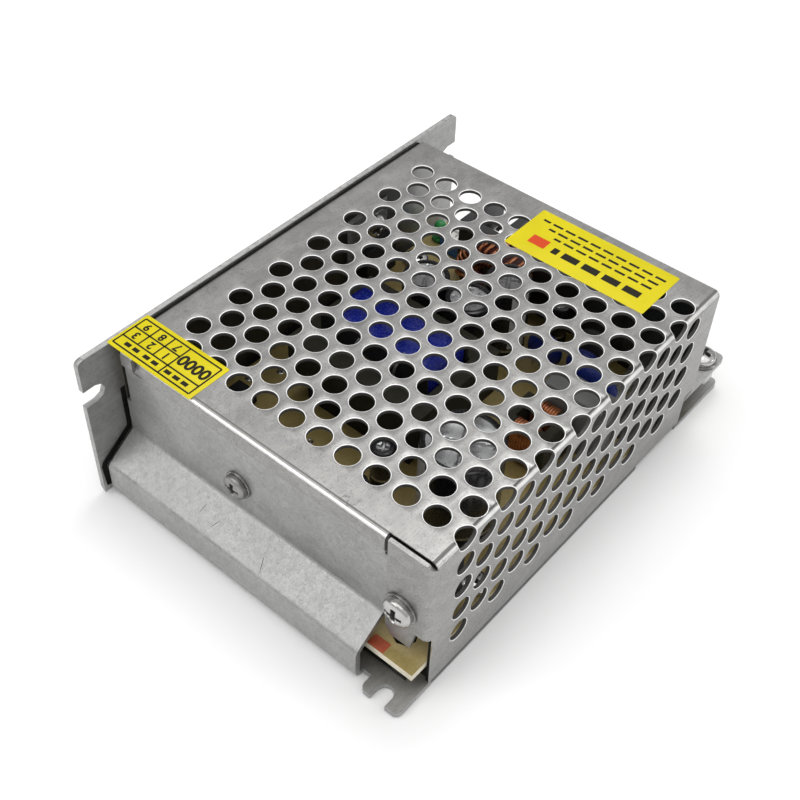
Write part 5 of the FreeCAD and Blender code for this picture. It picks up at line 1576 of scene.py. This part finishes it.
@dataclass
class Stickers:
    """Two printed stickers: a grid with plain numbers, and plain bars beside a plain red shape."""

    lift: float = 0.012
    film_below: float = 0.02

    def film(self, shop: Workshop, node: str) -> tuple[Array, Array]:
        """The room of a sticker's film, which ends a little below its box so that the print is in the box."""
        low, high = shop.low_high(node)
        return low, high - np.array([0.0, 0.0, self.film_below])

    def dress(self, shop: Workshop) -> None:
        """Lay both stickers and their print."""
        for node in ("date_label", "top_label"):
            block = rounded_block(*self.film(shop, node), 0.3, 0.04)
            shop.stand_in(f"{node}_film", block, "label_yellow", node)
        low, high = self.film(shop, "date_label")
        shop.piece("date_grid", self.grid_lines(Ruling(low, high), high[2]), "ink_black", "date_label")
        self.numbers(shop, Ruling(low, high), high[2])
        low, high = self.film(shop, "top_label")
        shop.piece("label_bars", self.bars(low, high), "ink_black", "top_label")
        x, y, z = low[0] + 4.6, high[1] - 5.4, high[2] + self.lift
        shop.piece("label_patch", patch((x - 1.4, y - 2.0, z), (x + 1.4, y + 2.0, z)), "ink_red", "top_label")

    def strip(self, a: Pair, b: Pair, wide: float, top: float) -> Surface:
        """A flat printed line from a to b: the two edges are the line moved half its width each way."""
        p, q = np.array(a), np.array(b)
        along = (q - p) / np.linalg.norm(q - p)
        side = np.array([-along[1], along[0]]) * wide / 2
        flat = np.array([[p - side, p + side], [q - side, q + side]])
        return Surface.grid(np.concatenate([flat, np.full((2, 2, 1), top + self.lift)], -1))

    def grid_lines(self, ruling: Ruling, top: float) -> list[Surface]:
        """The ruled grid: a frame, three columns down and cells across, as on a month and year sticker."""
        (x0, first, second, x1), (y0, step, y1) = ruling.x, ruling.y
        lines = [((x0, y0), (x1, y0)), ((x1, y0), (x1, y1)), ((x1, y1), (x0, y1)), ((x0, y1), (x0, y0)),
                 ((first, y0), (first, y1)), ((second, step), (second, y1)), ((x0, step), (x1, step))]
        lines += [((first, y), (x1, y)) for y in (step + (y1 - step) / 3, step + 2 * (y1 - step) / 3)]
        middle = (x0 + first) / 2
        starts = [y0 + y for y in (1.6, 3.8, 6.0)] + [step + y for y in (1.4, 3.6, 6.4, 8.6)]
        dashes = [((middle, y), (middle, y + 1.5)) for y in starts]
        return [self.strip(a, b, 0.36, top) for a, b in lines] + [self.strip(a, b, 0.9, top) for a, b in dashes]

    def numbers(self, shop: Workshop, ruling: Ruling, top: float) -> None:
        """Plain numbers in the cells, read from the end of the case."""
        (_, first, second, x1), (y0, step, y1) = ruling.x, ruling.y
        spots = []
        for k, (near, far) in enumerate((("1", "7"), ("2", "8"), ("3", "9"))):
            y = step + (k + 0.5) * (y1 - step) / 3
            spots += [(near, (first + second) / 2, y, 2.5), (far, (second + x1) / 2, y, 2.5)]
        spots.append(("0000", (first + x1) / 2, (y0 + step) / 2, 3.7))
        quarter_turn = Matrix.Rotation(math.pi / 2, 4, "Z")
        for k, (text, x, y, size) in enumerate(spots):
            curve = bpy.data.curves.new(f"number_{k}", "FONT")
            curve.body = text
            curve.size = size * MM
            curve.align_x, curve.align_y = "CENTER", "CENTER"
            curve.resolution_u = 3
            curve.offset = 0.035 * size * MM
            holder = bpy.data.objects.new(f"number_holder_{k}", curve)
            mesh = bpy.data.meshes.new_from_object(holder)
            mesh.transform(Matrix.Translation(Vector((x, y, top + self.lift)) * MM) @ quarter_turn)
            bpy.data.objects.remove(holder)
            mesh.materials.clear()
            mesh.materials.append(shop.materials["ink_black"])
            shop.attach(put_in_scene(f"date_number_{k + 1}", mesh), "date_label", False)

    def bars(self, low: Array, high: Array) -> list[Surface]:
        """Plain bars where a sticker has print: one bold row and three thin ones."""
        rows = [(low[0] + 4.2, 2.2, 3.2, 24.0, 1.9)]
        for k, start in enumerate((2.6, 2.2, 1.6)):
            rows.append((low[0] + 7.4 + 1.9 * k, 1.4, start, 31.0 - 2.6 * (2 - k), 0.62))
        strips = []
        for x, gap, start, stop, wide in rows:
            for edge in np.arange(start, stop, gap * 2.2):
                end = min(edge + gap * 1.7, stop)
                strips.append(self.strip((x, low[1] + edge), (x, low[1] + end), wide, high[2]))
        return strips


# The studio


@dataclass
class Studio:
    """Camera at the photograph's angle, soft lamps and a pale floor.

    The eye is in millimetres. Each lamp has a place and a size in metres and a power in watts.
    """

    eye: Spot = (-138.868, -103.635, 189.976)
    ahead: Spot = (0.54239, 0.43246, -0.72027)
    down: Spot = (-0.53691, -0.48098, -0.6931)
    focal_share: float = 1211.0 / 800.0
    sensor: float = 36.0
    lamps: tuple[tuple[str, Spot, float, float], ...] = (
        ("slope_lamp", (-0.52, 0.34, 0.48), 0.5, 1.25), ("top_lamp", (0.14, 0.05, 0.49), 0.16, 0.5),
        ("side_lamp", (0.43, -0.56, 0.33), 0.15, 0.35), ("wide_lamp", (0.0, 0.0, 1.2), 1.5, 6.6))
    target: Spot = (0.0, 0.0, 0.02)
    sky: Spot = (-0.10, -0.35, 0.93)
    dim: float = 0.31
    bright: float = 0.7
    floor_reach: float = 12.0
    floor_level: float = -0.0002

    def place_camera(self) -> None:
        """Set the camera from its eye and its own axes."""
        camera = bpy.data.cameras.new("camera")
        camera.sensor_width = self.sensor
        camera.lens = self.sensor * self.focal_share
        camera.clip_start, camera.clip_end = 0.01, 20.0
        thing = put_in_scene("camera", camera)
        back = -Vector(self.ahead).normalized()
        right = (-Vector(self.down)).cross(back).normalized()
        turn = Matrix((right, back.cross(right), back)).transposed().to_4x4()
        thing.matrix_world = Matrix.Translation(Vector(self.eye) * MM) @ turn
        bpy.context.scene.camera = thing

    def place_lamps(self) -> None:
        """Square soft lamps that look at the part."""
        for name, spot, size, power in self.lamps:
            light = bpy.data.lights.new(name, "AREA")
            light.size, light.energy = size, power
            thing = put_in_scene(name, light)
            thing.location = spot
            thing.rotation_euler = (Vector(self.target) - Vector(spot)).to_track_quat("-Z", "Y").to_euler()

    def make_sky(self) -> None:
        """A world that is white to the camera, and to all else goes from dim to bright towards one side."""
        world = bpy.data.worlds.new("pale_room")
        bpy.context.scene.world = world
        g = Graph(world, "Background", "Generated")
        facing = g.fed("ShaderNodeVectorMath", {0: g.place, 1: self.sky}, operation="DOT_PRODUCT")
        shade = g.spread(facing.outputs["Value"], 0.05, 0.65, self.dim, self.bright)
        to_camera = g.add("ShaderNodeLightPath").outputs["Is Camera Ray"]
        g.put(Color=(1.0, 1.0, 1.0), Strength=g.spread(to_camera, 0.0, 1.0, shade))

    def lay_floor(self) -> None:
        """A wide pale floor that keeps the part's shadow and glows white further out."""
        mesh = bpy.data.meshes.new("floor")
        corners = ((-1, -1), (1, -1), (1, 1), (-1, 1))
        mesh.from_pydata([(a * self.floor_reach, b * self.floor_reach, self.floor_level) for a, b in corners], [],
                         [(0, 1, 2, 3)])
        floor = put_in_scene("floor", mesh)
        material = bpy.data.materials.new("pale_floor")
        g = Graph(material)
        away = g.fed("ShaderNodeVectorMath", {0: g.place}, operation="LENGTH").outputs["Value"]
        share = g.spread(away, 0.13, 0.4)
        g.put(Base_Color=g.mix(share, (0.93, 0.93, 0.93), (0.0, 0.0, 0.0)), Roughness=0.9,
              Emission_Color=(1.0, 1.0, 1.0), Emission_Strength=share)
        mesh.materials.append(material)
        floor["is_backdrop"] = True

    def build(self) -> None:
        """Set everything up."""
        bpy.context.scene.view_settings.view_transform = "Standard"
        self.place_camera()
        self.place_lamps()
        self.make_sky()
        self.lay_floor()


def as_lists(box: Iterable[Iterable[float]]) -> list[list[float]]:
    """A box as plain lists of numbers."""
    return [[float(value) for value in corner] for corner in box]


def main(frame: dict, cad_box: list[list[float]]) -> None:
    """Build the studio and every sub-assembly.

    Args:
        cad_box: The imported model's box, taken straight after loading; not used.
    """
    logging.basicConfig(level=logging.INFO, format="%(name)s: %(message)s")
    Studio().build()
    shop = Workshop(frame)
    for assembly in (PerforatedCover(), Tray(), CaseFixings(), Board(), Terminals(), Capacitors(), Transformer(),
                     Chokes(), LineSide(), SmallParts(), Indicators(), Stickers()):
        assembly.dress(shop)
    LOG.info("%d pieces", shop.made)


if __name__ == "__main__":
    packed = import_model()
    main(packed, as_lists(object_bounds()))
